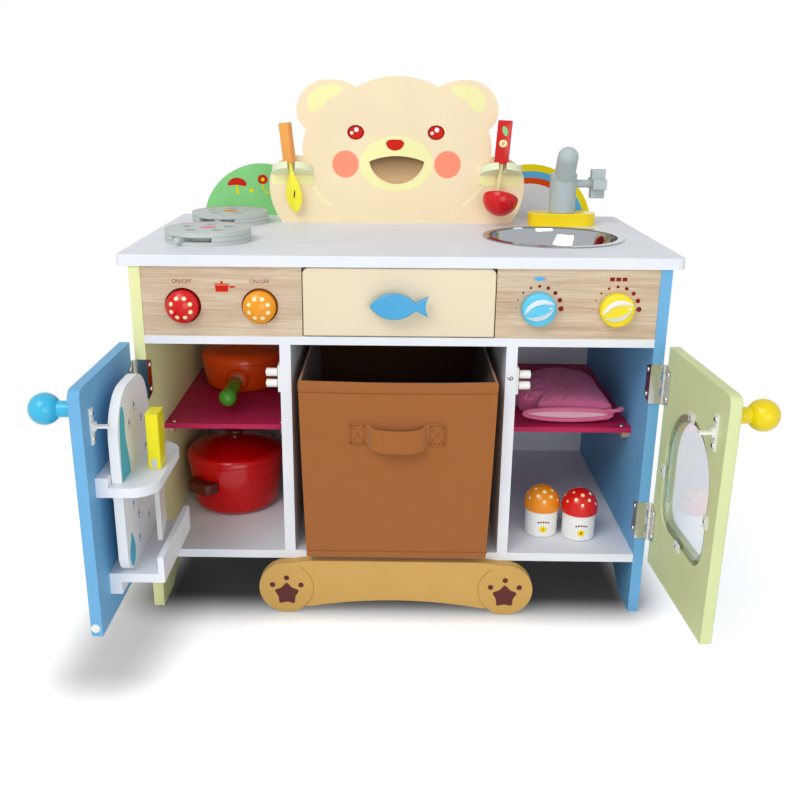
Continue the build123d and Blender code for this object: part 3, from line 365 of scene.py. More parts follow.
# Roughness, coat, depth of the orange peel in millimetres, and shine
GLOSS = {"satin": (0.45, 0.0, 0.06, 0.22), "gloss": (0.2, 0.2, 0.03, 0.3),
         "print": (0.55, 0.0, 0.02, 0.15), "plastic": (0.3, 0.15, 0.02, 0.35)}


def finish(name, shader_values, which, inputs, depth, strength=1.0):
    """A finish round one of the shader groups, made once for each name."""
    if name not in finishes:
        material, tree, shader = new_finish(name, shader_values)
        given = group_node(tree, which, inputs)
        for output, socket in (("Colour", "Base Color"), ("Roughness", "Roughness")):
            if output in given:
                tree.links.new(given[output], shader.inputs[socket])
        node = add(tree, "ShaderNodeBump", {"Height": given["Height"], "Distance": depth * MM,
                                            "Strength": strength})
        tree.links.new(node.outputs["Normal"], shader.inputs["Normal"])
        finishes[name] = material
    return finishes[name]


def painted(key, gloss="satin"):
    """The finish of a painted or moulded surface in one of the paints."""
    rough, coat, peel, shine = GLOSS[gloss]
    colour = getattr(bpy.context.scene.kitchen_paints, key)
    return finish(key + "_" + gloss, {"Coat Weight": coat, "Coat Roughness": 0.08, "IOR": 1.48,
                                      "Specular IOR Level": shine},
                  "film", {"Colour": colour, "Gloss": rough}, peel)


def bare_wood():
    paints = bpy.context.scene.kitchen_paints
    return finish("bare_wood", {"Roughness": 0.55, "Specular IOR Level": 0.2}, "grain",
                  {"Light": paints.bare_wood_light, "Dark": paints.bare_wood_dark}, 0.15)


def cloth(key, which, depth, sheen):
    colour = getattr(bpy.context.scene.kitchen_paints, key)
    return finish(key + "_cloth", {"Sheen Weight": sheen, "Sheen Roughness": 0.5,
                                   "Specular IOR Level": 0.2, "Roughness": 0.9},
                  which, {"Colour": colour}, depth)


def metal(name, colour, polish, marks):
    return finish(name, {"Metallic": 1.0, "Base Color": colour}, "rubbed",
                  {"Polish": polish, "Marks": marks}, 0.01, 0.3)


def sink_steel():
    return metal("sink_steel", tone(168, 171, 175), 0.05, 90.0)


def plated_steel():
    return metal("plated_steel", tone(205, 205, 200), 0.16, 700.0)


def clear_plastic():
    if "clear_plastic" in finishes:
        return finishes["clear_plastic"]
    material, tree, shader = new_finish("clear_plastic", {
        "Base Color": tone(240, 246, 250), "Transmission Weight": 1.0, "IOR": 1.45})
    film = group_node(tree, "film", {"Gloss": 0.06})
    tree.links.new(film["Roughness"], shader.inputs["Roughness"])
    finishes["clear_plastic"] = material
    return material


# Mesh helpers

def facing(origin, u_axis, v_axis):
    """A drawing plane: u and v along it and w standing out from it."""
    w_axis = u_axis.cross(v_axis)
    return Matrix((
        (u_axis.x, v_axis.x, w_axis.x, origin.x),
        (u_axis.y, v_axis.y, w_axis.y, origin.y),
        (u_axis.z, v_axis.z, w_axis.z, origin.z),
        (0, 0, 0, 1)))


def front_plane(x, y, z):
    return facing(at(x, y, z), X, Z)


def top_plane(x, y, z):
    return facing(at(x, y, z), X, Y)


def left_door_point(u, s, z):
    """A point on the open left door: u along it from the pin, s inwards from its inner face."""
    return at(-290 + s, -3 - u, z)


def right_door_matrix():
    return Matrix.Translation(PIN) @ Matrix.Rotation(DOOR_AJAR, 4, "Z") @ Matrix.Translation(-PIN)


def right_door_point(u, s, z):
    return right_door_matrix() @ at(290 - s, -3 - u, z)


def stand(x, y, z):
    """A place to set a thing on, from millimetres as in at()."""
    return Matrix.Translation(at(x, y, z))


def turned_by(degrees, axis):
    return Matrix.Rotation(math.radians(degrees), 4, axis)


def polar(radius, degrees, centre=(0, 0)):
    """The point at a distance and an angle from a centre."""
    angle = math.radians(degrees)
    return (centre[0] + radius * math.cos(angle), centre[1] + radius * math.sin(angle))


def rect(left, low, right, high):
    return [(left, low), (right, low), (right, high), (left, high)]


def ring(radius_u, radius_v=None, first=0.0, last=360.0, centre=(0, 0), turn=0.0):
    """Points in millimetres round an ellipse or part of one, turned by an angle in degrees."""
    flat = 1 if radius_v is None else radius_v / radius_u
    span = last - first
    count = max(3, round(4 * bpy.context.scene.kitchen_light.steps * abs(span) / 360))
    points = []
    for i in range(count if abs(span) >= 360 else count + 1):
        u, v = polar(radius_u, first + span * i / count)
        out, up = polar(u, turn), polar(v * flat, turn + 90)
        points.append((centre[0] + out[0] + up[0], centre[1] + out[1] + up[1]))
    return points


def smooth_line(corners, steps, closed=False):
    """A smooth curve in millimetres through the given points."""
    count = len(corners)
    points = []
    for i in range(count if closed else count - 1):
        a, b, c, d = (Vector(corners[(i + k) % count if closed else min(max(i + k, 0), count - 1)])
                      for k in (-1, 0, 1, 2))
        for j in range(steps):
            t = j / steps
            points.append(tuple(0.5 * (2 * b + (c - a) * t + (2 * a - 5 * b + 4 * c - d) * t * t
                                       + (3 * b - a - 3 * c + d) * t ** 3)))
    return points if closed else points + [tuple(corners[-1])]


def smooth_loop(corners, steps=6):
    """A closed curve in millimetres through the given points."""
    return smooth_line(corners, steps, True)


def mirrored(points):
    return [(-u, v) for u, v in reversed(points)]


def linked(name, data):
    """A new object in the scene."""
    thing = bpy.data.objects.new(name, data)
    bpy.context.scene.collection.objects.link(thing)
    return thing


def evaluated(thing):
    """The mesh that an object's modifiers, curve or text give, as new data."""
    bpy.context.view_layer.update()
    return bpy.data.meshes.new_from_object(thing.evaluated_get(bpy.context.evaluated_depsgraph_get()))


def from_curve(name, curve):
    """The mesh of a curve or a text."""
    source = linked(name + "_curve", curve)
    mesh = evaluated(source)
    bpy.data.objects.remove(source)
    return mesh


def smoothed(mesh, sharp=None):
    """Smooth shading, with sharp edges from an angle in degrees if one is given."""
    for polygon in mesh.polygons:
        polygon.use_smooth = True
    if sharp:
        mesh.set_sharp_from_angle(angle=math.radians(sharp))
    return mesh


def new_object(name, mesh, material, body, replaces=()):
    """A piece of the visual model that rides on a body of the frame."""
    piece = linked(name, mesh)
    mesh.materials.clear()
    mesh.materials.append(material)
    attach(piece, body)
    if replaces:
        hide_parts(*replaces)
    return piece


def mesh_from(shape, name, sharp=35):
    """A mesh from a bmesh, its faces outward and its smooth parts shaded smooth."""
    bmesh.ops.remove_doubles(shape, verts=shape.verts, dist=1e-6)
    bmesh.ops.recalc_face_normals(shape, faces=shape.faces)
    mesh = bpy.data.meshes.new(name)
    shape.to_mesh(mesh)
    shape.free()
    return smoothed(mesh, sharp)


def points_into(shape, place, points):
    """Adds vertices at points in millimetres, given in a place of their own."""
    return [shape.verts.new(place @ (Vector(point) * MM)) for point in points]


def skin(shape, rows):
    """Adds the sides between closed rows of as many points, and both ends."""
    for low, high in zip(rows, rows[1:]):
        for i in range(len(low)):
            j = (i + 1) % len(low)
            shape.faces.new((low[i], low[j], high[j], high[i]))
    shape.faces.new(rows[0])
    shape.faces.new(rows[-1])


def prism_into(shape, outline, plane, low, high):
    """Adds a closed plate with a drawn outline to a bmesh; all sizes in millimetres."""
    skin(shape, [points_into(shape, plane, [(u, v, w) for u, v in outline]) for w in (low, high)])


def soften(shape, edges, offset, segments=3, profile=0.5):
    """Rounds some edges of a bmesh by an offset in millimetres."""
    bmesh.ops.bevel(shape, geom=edges, offset=offset * MM, segments=segments, profile=profile,
                    affect="EDGES")


def corners_of(shape, degrees):
    """The edges of a bmesh where its faces meet at more than an angle."""
    return [e for e in shape.edges if e.calc_face_angle(0) > math.radians(degrees)]


def band_into(shape, outer, inner, plane, low, high, closed=False):
    """Adds a closed strip between two lines of as many points."""
    out_low, out_high, in_low, in_high = (
        points_into(shape, plane, [(u, v, w) for u, v in line])
        for line in (outer, inner) for w in (low, high))
    count = len(outer)
    for i in range(count if closed else count - 1):
        j = (i + 1) % count
        for a, b in ((out_high, in_high), (out_low, in_low), (out_low, out_high), (in_low, in_high)):
            shape.faces.new((a[i], a[j], b[j], b[i]))
    if not closed:
        for i in (0, count - 1):
            shape.faces.new((out_low[i], out_high[i], in_high[i], in_low[i]))


def around(outline, centre):
    """Where an outline is crossed by lines at even angles from a point inside it."""
    count = 4 * bpy.context.scene.kitchen_light.steps
    middle = Vector(centre)
    corners = [Vector(point) - middle for point in outline]
    points = []
    for i in range(count):
        angle = 2 * math.pi * i / count
        way = Vector((math.cos(angle), math.sin(angle)))
        for a, b in zip(corners, corners[1:] + corners[:1]):
            side = b - a
            slope = way.x * side.y - way.y * side.x
            if abs(slope) < 1e-9:
                continue
            out = (a.x * side.y - a.y * side.x) / slope
            share = (a.x * way.y - a.y * way.x) / slope
            if out > 0 and -1e-6 <= share <= 1 + 1e-6:
                points.append(tuple(middle + way * out))
                break
    return points


def strip(line, width):
    """An open band of one width along a line of points."""
    sides = ([], [])
    for i, point in enumerate(line):
        way = Vector(line[min(i + 1, len(line) - 1)]) - Vector(line[max(i - 1, 0)])
        across = Vector((-way.y, way.x)).normalized() * width / 2
        for side, sign in zip(sides, (1, -1)):
            side.append(tuple(Vector(point) + across * sign))
    return sides


def printed(name, outlines, plane, key, body, layer=0, gloss="print", bands=(), rings=()):
    """Printed marks as thin films on a surface; a higher layer lies over a lower one."""
    film = bpy.context.scene.kitchen_sizes.print_film / MM
    shape = bmesh.new()
    for outline in outlines:
        prism_into(shape, outline, plane, -0.05, film * (layer + 1))
    for closed, pairs in ((False, bands), (True, rings)):
        for outer, inner in pairs:
            band_into(shape, outer, inner, plane, -0.05, film * (layer + 1), closed)
    return new_object(name, mesh_from(shape, name), painted(key, gloss), body)


def turned_into(shape, profile, place, steps=48):
    """Adds a solid of revolution; the profile is radius and height in millimetres."""
    rows = []
    for radius, height in profile:
        count = steps if radius > 1e-6 else 1
        rows.append(points_into(shape, place, [(*polar(radius, 360 * i / steps), height)
                                               for i in range(count)]))
    for low, high in zip(rows, rows[1:]):
        for i in range(steps):
            j = (i + 1) % steps
            corners = [low[i % len(low)], low[j % len(low)], high[j % len(high)], high[i % len(high)]]
            unique = list(dict.fromkeys(corners))
            if len(unique) > 2:
                shape.faces.new(unique)


def arc(centre, radius, first, last, steps=8):
    """Points of an arc for a turned profile."""
    return [polar(radius, first + (last - first) * i / steps, centre) for i in range(steps + 1)]


def seam(radius, depth, half):
    """The profile of a fine dark line turned round a cylinder."""
    return [(radius - depth, -half), (radius, 0.1 - half), (radius, half - 0.1), (radius - depth, half)]


def turned(name, profile, place, material, body, replaces=(), steps=64, sharp=35):
    shape = bmesh.new()
    turned_into(shape, profile, place, steps)
    return new_object(name, mesh_from(shape, name, sharp), material, body, replaces)


def solids_of(node):
    """The separate solids of a CAD node as bmeshes, the one with the largest box first."""
    shape = bmesh.new()
    shape.from_mesh(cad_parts[node].data)
    bmesh.ops.remove_doubles(shape, verts=shape.verts, dist=1e-6)
    left = set(shape.verts)
    found = []
    while left:
        island, waiting = set(), [left.pop()]
        while waiting:
            vert = waiting.pop()
            if vert not in island:
                island.add(vert)
                waiting += [edge.other_vert(vert) for edge in vert.link_edges]
        left -= island
        part = bmesh.new()
        made = {v: part.verts.new(v.co) for v in island}
        for face in {f for v in island for f in v.link_faces}:
            part.faces.new([made[v] for v in face.verts])
        spans = [max(v.co[k] for v in island) - min(v.co[k] for v in island) for k in range(3)]
        found.append((math.prod(spans), part))
    shape.free()
    return [part for _, part in sorted(found, key=lambda entry: -entry[0])]


def split_node(node, names, body):
    """Gives each solid of a CAD node its own piece and finish."""
    found = solids_of(node)
    if len(found) != len(names):
        raise RuntimeError(f"{node} has {len(found)} solids, and {len(names)} finishes are given")
    pieces = [new_object(name, mesh_from(part, name), material, body)
              for part, (name, material, slot) in zip(found, names)]
    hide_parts(node)


def dress(node, material):
    """Puts a finish in every material slot of a CAD node."""
    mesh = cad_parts[node].data
    if not mesh.materials:
        mesh.materials.append(material)
    for i in range(len(mesh.materials)):
        mesh.materials[i] = material


# Geometry node trees

def geometry_tree(name, inputs):
    tree = bpy.data.node_groups.new(name, "GeometryNodeTree")
    tree.interface.new_socket("Geometry", in_out="INPUT", socket_type="NodeSocketGeometry")
    for label, kind in inputs:
        tree.interface.new_socket(label, in_out="INPUT", socket_type="NodeSocket" + kind)
    tree.interface.new_socket("Geometry", in_out="OUTPUT", socket_type="NodeSocketGeometry")
    return tree, add(tree, "NodeGroupInput").outputs, add(tree, "NodeGroupOutput").inputs


def plant(tree, given, out, inputs):
    """Ends a tree: copies on points, made real, in the given material."""
    copies = add(tree, "GeometryNodeInstanceOnPoints", inputs)
    real = add(tree, "GeometryNodeRealizeInstances", {"Geometry": copies.outputs["Instances"]})
    last = add(tree, "GeometryNodeSetMaterial", {"Geometry": real.outputs["Geometry"],
                                                 "Material": given["Material"]})
    tree.links.new(last.outputs["Geometry"], out["Geometry"])
    return tree


def repeat_tree():
    """Sets one small shape on every point, turned and sized by the point's own values."""
    tree, given, out = geometry_tree("Repeated pieces", [("Shape", "Object"), ("Material", "Material")])
    shape = add(tree, "GeometryNodeObjectInfo", {"Object": given["Shape"]})
    turn = add(tree, "GeometryNodeInputNamedAttribute", {"Name": "turn"}, data_type="QUATERNION")
    size = add(tree, "GeometryNodeInputNamedAttribute", {"Name": "size"}, data_type="FLOAT")
    return plant(tree, given, out, {
        "Points": given["Geometry"], "Instance": shape.outputs["Geometry"],
        "Rotation": turn.outputs["Attribute"], "Scale": size.outputs["Attribute"]})


def stitch_tree():
    """Lays stitches of one length along lines, at an even pitch."""
    tree, given, out = geometry_tree("Stitches", [("Pitch", "Float"), ("Stitch", "Float"),
                                                  ("Thread", "Float"), ("Material", "Material")])
    curve = add(tree, "GeometryNodeMeshToCurve", {"Mesh": given["Geometry"]})
    points = add(tree, "GeometryNodeCurveToPoints", {"Curve": curve.outputs["Curve"],
                                                     "Length": given["Pitch"]}, mode="LENGTH")
    turn = add(tree, "FunctionNodeAlignRotationToVector", {"Vector": points.outputs["Tangent"]},
               axis="Z")
    stitch = add(tree, "GeometryNodeMeshCylinder", {"Vertices": 6, "Radius": given["Thread"],
                                                    "Depth": given["Stitch"]})
    return plant(tree, given, out, {
        "Points": points.outputs["Points"], "Instance": stitch.outputs["Mesh"],
        "Rotation": turn.outputs["Rotation"]})


TREE_MAKERS = {"repeat": repeat_tree, "stitches": stitch_tree}


def grown(name, mesh, which, inputs, material, body):
    """Runs a geometry tree on a mesh and keeps the result as a plain piece."""
    if which not in groups:
        groups[which] = TREE_MAKERS[which]()
    tree = groups[which]
    holder = linked(name + "_points", mesh)
    modifier = holder.modifiers.new("Grown", "NODES")
    modifier.node_group = tree
    sockets = {item.name: item.identifier for item in tree.interface.items_tree
               if item.item_type == "SOCKET" and item.in_out == "INPUT"}
    for label, value in {**inputs, "Material": material}.items():
        modifier[sockets[label]] = value
    result = evaluated(holder)
    result.name = name
    holder.modifiers.clear()
    bpy.data.objects.remove(holder)
    return new_object(name, result, material, body)


def repeated(name, shape_mesh, spots, material, body):
    """Copies of a small shape; a spot is its place, the way it faces and its size in metres."""
    mesh = bpy.data.meshes.new(name + "_spots")
    mesh.from_pydata([tuple(place) for place, _, _ in spots], [], [])
    turns = [way.to_track_quat("Z", "Y") for _, way, _ in spots]
    for label, kind, values in (("turn", "QUATERNION", turns), ("size", "FLOAT", [s[2] for s in spots])):
        layer = mesh.attributes.new(label, kind, "POINT")
        for item, value in zip(layer.data, values):
            item.value = value
    source = linked(name + "_shape", shape_mesh)
    piece = grown(name, mesh, "repeat", {"Shape": source}, material, body)
    bpy.data.objects.remove(source)
    smoothed(piece.data, 35)


def stitched(name, lines, key, body):
    """Rows of stitches along lines of points in metres."""
    verts, edges = [], []
    for line in lines:
        start = len(verts)
        verts += [tuple(point) for point in line]
        edges += [(start + i, start + i + 1) for i in range(len(line) - 1)]
    mesh = bpy.data.meshes.new(name + "_lines")
    mesh.from_pydata(verts, edges, [])
    sizes = bpy.context.scene.kitchen_sizes
    return grown(name, mesh, "stitches",
                 {"Pitch": sizes.stitch_gap, "Stitch": sizes.stitch, "Thread": sizes.thread},
                 painted(key, "print"), body)


def disc_shape():
    """A thin round dot of radius 1, with a softly turned edge."""
    shape = bmesh.new()
    profile = [(0, -50), (1000, -50), (1000, 60), (900, 110), (0, 130)]
    turned_into(shape, profile, Matrix.Identity(4), 20)
    return mesh_from(shape, "disc_shape")


def screw_shape():
    """A round screw head of radius 1 with a cross recess."""
    arm, reach = 0.13, 0.5
    cross = [(arm, arm), (arm, reach), (-arm, reach), (-arm, arm), (-reach, arm), (-reach, -arm),
             (-arm, -arm), (-arm, -reach), (arm, -reach), (arm, -arm), (reach, -arm), (reach, arm)]
    rim = [tuple(Vector(point).normalized()) for point in cross]
    shape = bmesh.new()
    skin(shape, [[shape.verts.new((u * scale, v * scale, height)) for u, v in outline]
                 for scale, height, outline in (
                     (1, 0.12, cross), (1, 0.42, cross), (0.72, 0.42, rim), (0.92, 0.3, rim),
                     (1, 0.12, rim), (1, -0.2, rim))])
    return mesh_from(shape, "screw_shape", 50)


# Operators

class KitchenOperator:
    bl_options = {"REGISTER", "UNDO"}

    def execute(self, context):
        self.make(context.scene.kitchen_paints, context.scene.kitchen_sizes)
        return {"FINISHED"}


class PLAYKITCHEN_OT_stage(Operator):
    """Pale floor with painted shadows, even room light, two soft lamps and the camera"""
    bl_idname = "playkitchen.stage"
    bl_label = "Stage"

    def execute(self, context):
        scene = context.scene
        light = scene.kitchen_light
        scene.view_settings.view_transform = "Standard"
        camera = bpy.data.cameras.new("view")
        camera.lens = 41.52
        camera.sensor_width = 36
        camera.shift_x = 0.0282
        camera.shift_y = -0.0107
        camera.clip_end = 50
        holder = linked("view", camera)
        holder.location = (-0.0075, -1.04278, 0.58599)
        pan, down, roll = 0.0155, 18.127, 0.0048
        aim = Matrix.Rotation(pan, 4, "Z") @ turned_by(90 - down, "X") @ Matrix.Rotation(roll, 4, "Z")
        holder.rotation_euler = aim.to_euler()
        scene.camera = holder
        self.world(scene, light.room)
        self.floor(light.floor_glow)
        aimed_at = Vector((0, 0, 0.3))
        for name, place, size, power in (
                ("key_lamp", (-1.1, -1.7, 2.3), 1.6, light.key),
                ("fill_lamp", (0.5, -2.2, 0.45), 1.3, light.fill)):
            lamp = bpy.data.lights.new(name, "AREA")
            lamp.size = size
            lamp.energy = power
            body = linked(name, lamp)
            body.location = place
            body.rotation_euler = (aimed_at - Vector(place)).to_track_quat("-Z", "Y").to_euler()
        return {"FINISHED"}

    def mixed(self, tree, share, first, second):
        return add(tree, "ShaderNodeMixShader", {0: share, 1: first, 2: second}).outputs[0]

    def seen(self, tree):
        """1 for what the camera sees straight on, in a mirror or through glass."""
        path = add(tree, "ShaderNodeLightPath").outputs
        mirror = calc(tree, "MAXIMUM", path["Is Camera Ray"], path["Is Glossy Ray"])
        return calc(tree, "MAXIMUM", mirror, path["Is Transmission Ray"])

    def world(self, scene, room):
        world = bpy.data.worlds.new("room")
        world.use_nodes = True
        scene.world = world
        tree = world.node_tree
        even, white = (add(tree, "ShaderNodeBackground", {"Color": WHITE, "Strength": strength}).outputs[0]
                       for strength in (room, 1.0))
        tree.links.new(self.mixed(tree, self.seen(tree), even, white),
                       tree.nodes["World Output"].inputs["Surface"])

    def floor(self, glow):
        """A pale floor with painted shadows under the cabinet and by the left door, and white further out.
        """
        mesh = bpy.data.meshes.new("floor")
        far = 8.0
        mesh.from_pydata([(u, v, 0) for u, v in rect(-far, -far, far, far)], [], [(0, 1, 2, 3)])
        material, tree, shader = new_finish("floor", {"Roughness": 0.9, "Specular IOR Level": 0.05})
        place = add(tree, "ShaderNodeTexCoord").outputs["Object"]
        # Painted shadows: one under the cabinet, and one by the left door, drawn in the door cap's own
        # coordinates so that it turns with the door.
        on_door = add(tree, "ShaderNodeTexCoord", object=bpy.data.objects["left_door_cap"])
        under = self.painted_shadow_box(tree, place, centre=(0, 82), half=(262, 130), blur=44, strength=0.96)
        door_shadow = self.painted_shadow_box(tree, on_door.outputs["Object"], centre=(-305, -120), half=(8, 90),
                               blur=45, strength=0.55)
        bright = calc(tree, "MULTIPLY", calc(tree, "SUBTRACT", 1.0, under),
                      calc(tree, "SUBTRACT", 1.0, door_shadow))
        # The floor's colour is darkened by the two painted shadows.
        tree.links.new(shade(tree, (0.9, 0.9, 0.9), bright), shader.inputs["Base Color"])
        lift, white = (add(tree, "ShaderNodeEmission", {"Color": WHITE, "Strength": strength}).outputs[0]
                       for strength in (calc(tree, "MULTIPLY", bright, glow), 1.0))
        lifted = add(tree, "ShaderNodeAddShader", {0: shader.outputs[0], 1: lift}).outputs[0]
        fades_from, white_from = 0.45, 0.75
        away = spread(tree, vector_calc(tree, "LENGTH", place), fades_from, white_from, 0.0, 1.0)
        shown = self.mixed(tree, away, lifted, white)
        tree.links.new(self.mixed(tree, self.seen(tree), shader.outputs[0], shown),
                       tree.nodes["Material Output"].inputs["Surface"])
        mesh.materials.append(material)
        floor = linked("floor", mesh)

    def painted_shadow_box(self, tree, place, centre, half, blur, strength):
        """A painted shadow's strength on the floor: high over a rectangle and fading out round it."""
        moved = vector_calc(tree, "SUBTRACT", place, Vector((*centre, 0)) * MM)
        beyond = vector_calc(tree, "SUBTRACT", vector_calc(tree, "ABSOLUTE", moved),
                             Vector((*half, 0)) * MM)
        away = vector_calc(tree, "LENGTH", vector_calc(tree, "MAXIMUM", beyond, (0, 0, 0)))
        return add(tree, "ShaderNodeMapRange", {"Value": away, "From Min": 0.0,
                                                "From Max": 2 * blur * MM, "To Min": strength,
                                                "To Max": 0.0},
                   interpolation_type="SMOOTHSTEP").outputs["Result"]


class PLAYKITCHEN_OT_boards(KitchenOperator, Operator):
    """Paint, bare wood and metal on the boards and fittings that the CAD model gives"""
    bl_idname = "playkitchen.boards"
    bl_label = "Boards and fittings"
    PAINTED = {
        "satin": {
            "white_paint": "worktop floor_panel mid_panel dividers back_panel drawer_bay_walls "
                           "rack_upper rack_lower",
            "pale_yellow_paint": "side_panel_left",
            "sky_blue_paint": "side_panel_right door_left",
            "pale_green_paint": "door_right",
            "cream_paint": "drawer_front",
            "plinth_tan": "plinth_board",
            "bear_cream": "bear_backboard",
            "holder_green": "utensil_holders",
            "hill_green": "hill_panel",
            "rainbow_yellow": "rainbow_panel",
            "hob_grey": "hob_housings hob_disc_front hob_disc_rear",
            "shelf_pink": "shelves",
            "board_white": "cutting_board",
            "tap_grey": "tap_handle faucet_body",
        },
        "gloss": {
            "fish_blue": "fish_handle",
            "knob_blue": "knob_left",
            "knob_yellow": "knob_right",
            "tap_yellow": "faucet_base",
            "button_red": "button_red",
            "button_orange": "button_orange",
            "dial_blue": "dial_blue",
            "dial_yellow": "dial_yellow",
        },
        "plastic": {"white_plastic": "strike_left strike_right roller_catches window_tabs"},
    }

    def make(self, paints, sizes):
        dressed = [(nodes, painted(key, gloss)) for gloss, rows in self.PAINTED.items()
                   for key, nodes in rows.items()]
        dressed += [
            ("range_panel oven_panel button_guides drawer_box shelf_cleats", bare_wood()),
            ("hinges_fixed hinge_leaves_left hinge_leaves_right button_spring_red "
             "button_spring_orange", plated_steel()),
            ("sink_bowl", sink_steel()),
            ("window_pane", clear_plastic())]
        for nodes, material in dressed:
            for node in nodes.split():
                dress(node, material)
        turned("faucet_seam", seam(17.06, 0.46, 0.3), stand(211, 250, 477), painted("seam_grey_and_hole_shade"),
               "faucet")


class PLAYKITCHEN_OT_bear(KitchenOperator, Operator):
    """The printed face, paws and arms of the bear board"""
    bl_idname = "playkitchen.bear"
    bl_label = "Bear board"

    def make(self, paints, sizes):
        low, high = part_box("bear_backboard")
        middle = (low.x + high.x) / 2
        plane = facing(Vector((middle, low.y, TOP_Z)), X, Z)
        ear = [(118, 140), (116, 152.4), (108.5, 161), (97.8, 166), (84.7, 168), (75, 165.5), (73.5, 160),
               (81, 153.6), (92, 147.6), (98, 140), (104, 134), (112, 133)]
        patches = []
        for side in (-1, 1):
            patches.append(smooth_loop([(side * (u - 5) - 1, 0.93 * v + 15.4) for u, v in ear]))
            paw = side * HOLDER_U
            patches.append(rect(paw - 27, 48.5, paw + 27, 60))
        mouth = smooth_loop([(-35.3, 78), (-18, 83.2), (0, 85), (18, 83.2), (35.3, 78), (31.5, 65),
                             (18.5, 53.6), (0, 49.7), (-18.5, 53.6), (-31.5, 65)])
        muzzle = [(around(ring(46.6, 34.6, centre=(-0.6, 75)), (0, 68)), around(mouth, (0, 68)))]
        printed("bear_patches", patches, plane, "bear_patch", "cabinet", rings=muzzle)
        nose = smooth_loop([(-11.6, 100.4), (-8.6, 104.4), (-3, 105.4), (3, 105.4), (8.6, 104.4),
                            (11.6, 100.4), (8, 94.2), (0, 91.6), (-8, 94.2)])
        printed("bear_nose", [[(u - 2.4, v) for u, v in nose]], plane, "nose_red", "cabinet", 1)
        eyes = (-52.6, 49.6)
        printed("bear_eye_rims", [ring(10.8, 9.1, centre=(u, 114)) for u in eyes], plane, "eye_rim",
                "cabinet")
        printed("bear_eyes", [ring(8.8, 7.3, centre=(u, 113.8)) for u in eyes], plane, "nose_red",
                "cabinet", 1)
        glints = [ring(size, centre=(u + out, up)) for u in eyes
                  for size, out, up in ((2.9, 0.9, 117.3), (2.1, -5.1, 113.3))]
        printed("bear_glints", glints, plane, "white_paint", "cabinet", 2, "gloss")
        printed("bear_cheeks", [ring(17, centre=(u, 74.5)) for u in (-65.8, 65)], plane, "cheek_pink",
                "cabinet")
        pocket = facing(Vector((middle, low.y + 6.95 * MM, TOP_Z)), X, Z)
        inside = printed("bear_mouth", [mouth], pocket, "bear_mouth", "cabinet", 0, "satin")
        # The mouth's floor takes a finish with painted shade under the upper lip.
        inside.data.materials[0] = self.mouth_painted_shade(paints)
        arm = [(110, 48.9), (103.4, 38.7), (95.6, 30), (85.7, 22.2)]
        printed("bear_arms", [], plane, "arm_line", "cabinet",
                bands=[strip([(side * u, v) for u, v in arm], 3.2) for side in (-1, 1)])
        self.holders(middle, low.y)

    def mouth_painted_shade(self, paints):
        """The mouth's floor, with painted shade darkening it under its upper lip."""
        material, tree, shader = new_finish("mouth_painted_shade", {"Roughness": 0.6, "Specular IOR Level": 0.15})
        place = add(tree, "ShaderNodeTexCoord").outputs["Object"]
        height = add(tree, "ShaderNodeSeparateXYZ", {0: place}).outputs["Z"]
        share = spread(tree, height, TOP_Z + 54 * MM, TOP_Z + 84 * MM, 0.0, 1.0)
        blend = add(tree, "ShaderNodeMix", {"Factor": share, "A": paints.bear_mouth,
                                            "B": paints.mouth_dark}, data_type="RGBA")
        tree.links.new(blend.outputs["Result"], shader.inputs["Base Color"])
        return material

    def holders(self, middle, board_y):
        """Two half-round plates with a notch for a utensil, their fronts a little lifted."""
        tilt = math.radians(25)
        out = Vector((0, -math.cos(tilt), math.sin(tilt)))
        notch = [(5, 21.9), (5, 12)] + ring(5, 5, 0, -180, centre=(0, 12))[1:-1] + [(-5, 12), (-5, 21.9)]
        right = [(27, -2)] + [(u, v) for u, v in ring(27, 22.5, 0, 90) if u > 5.2]
        left = [(-u, v) for u, v in reversed(right)]
        shape = bmesh.new()
        for side in (-1, 1):
            middle_of_plate = Vector((middle + side * HOLDER_U * MM, board_y, TOP_Z + 61.5 * MM))
            prism_into(shape, right + notch + left, facing(middle_of_plate, X, out), -9, 0)
        soften(shape, corners_of(shape, 50), 0.8, 2)
        new_object("bear_holders", mesh_from(shape, "bear_holders", 40), painted("holder_green"),
                   "cabinet", ("utensil_holders",))


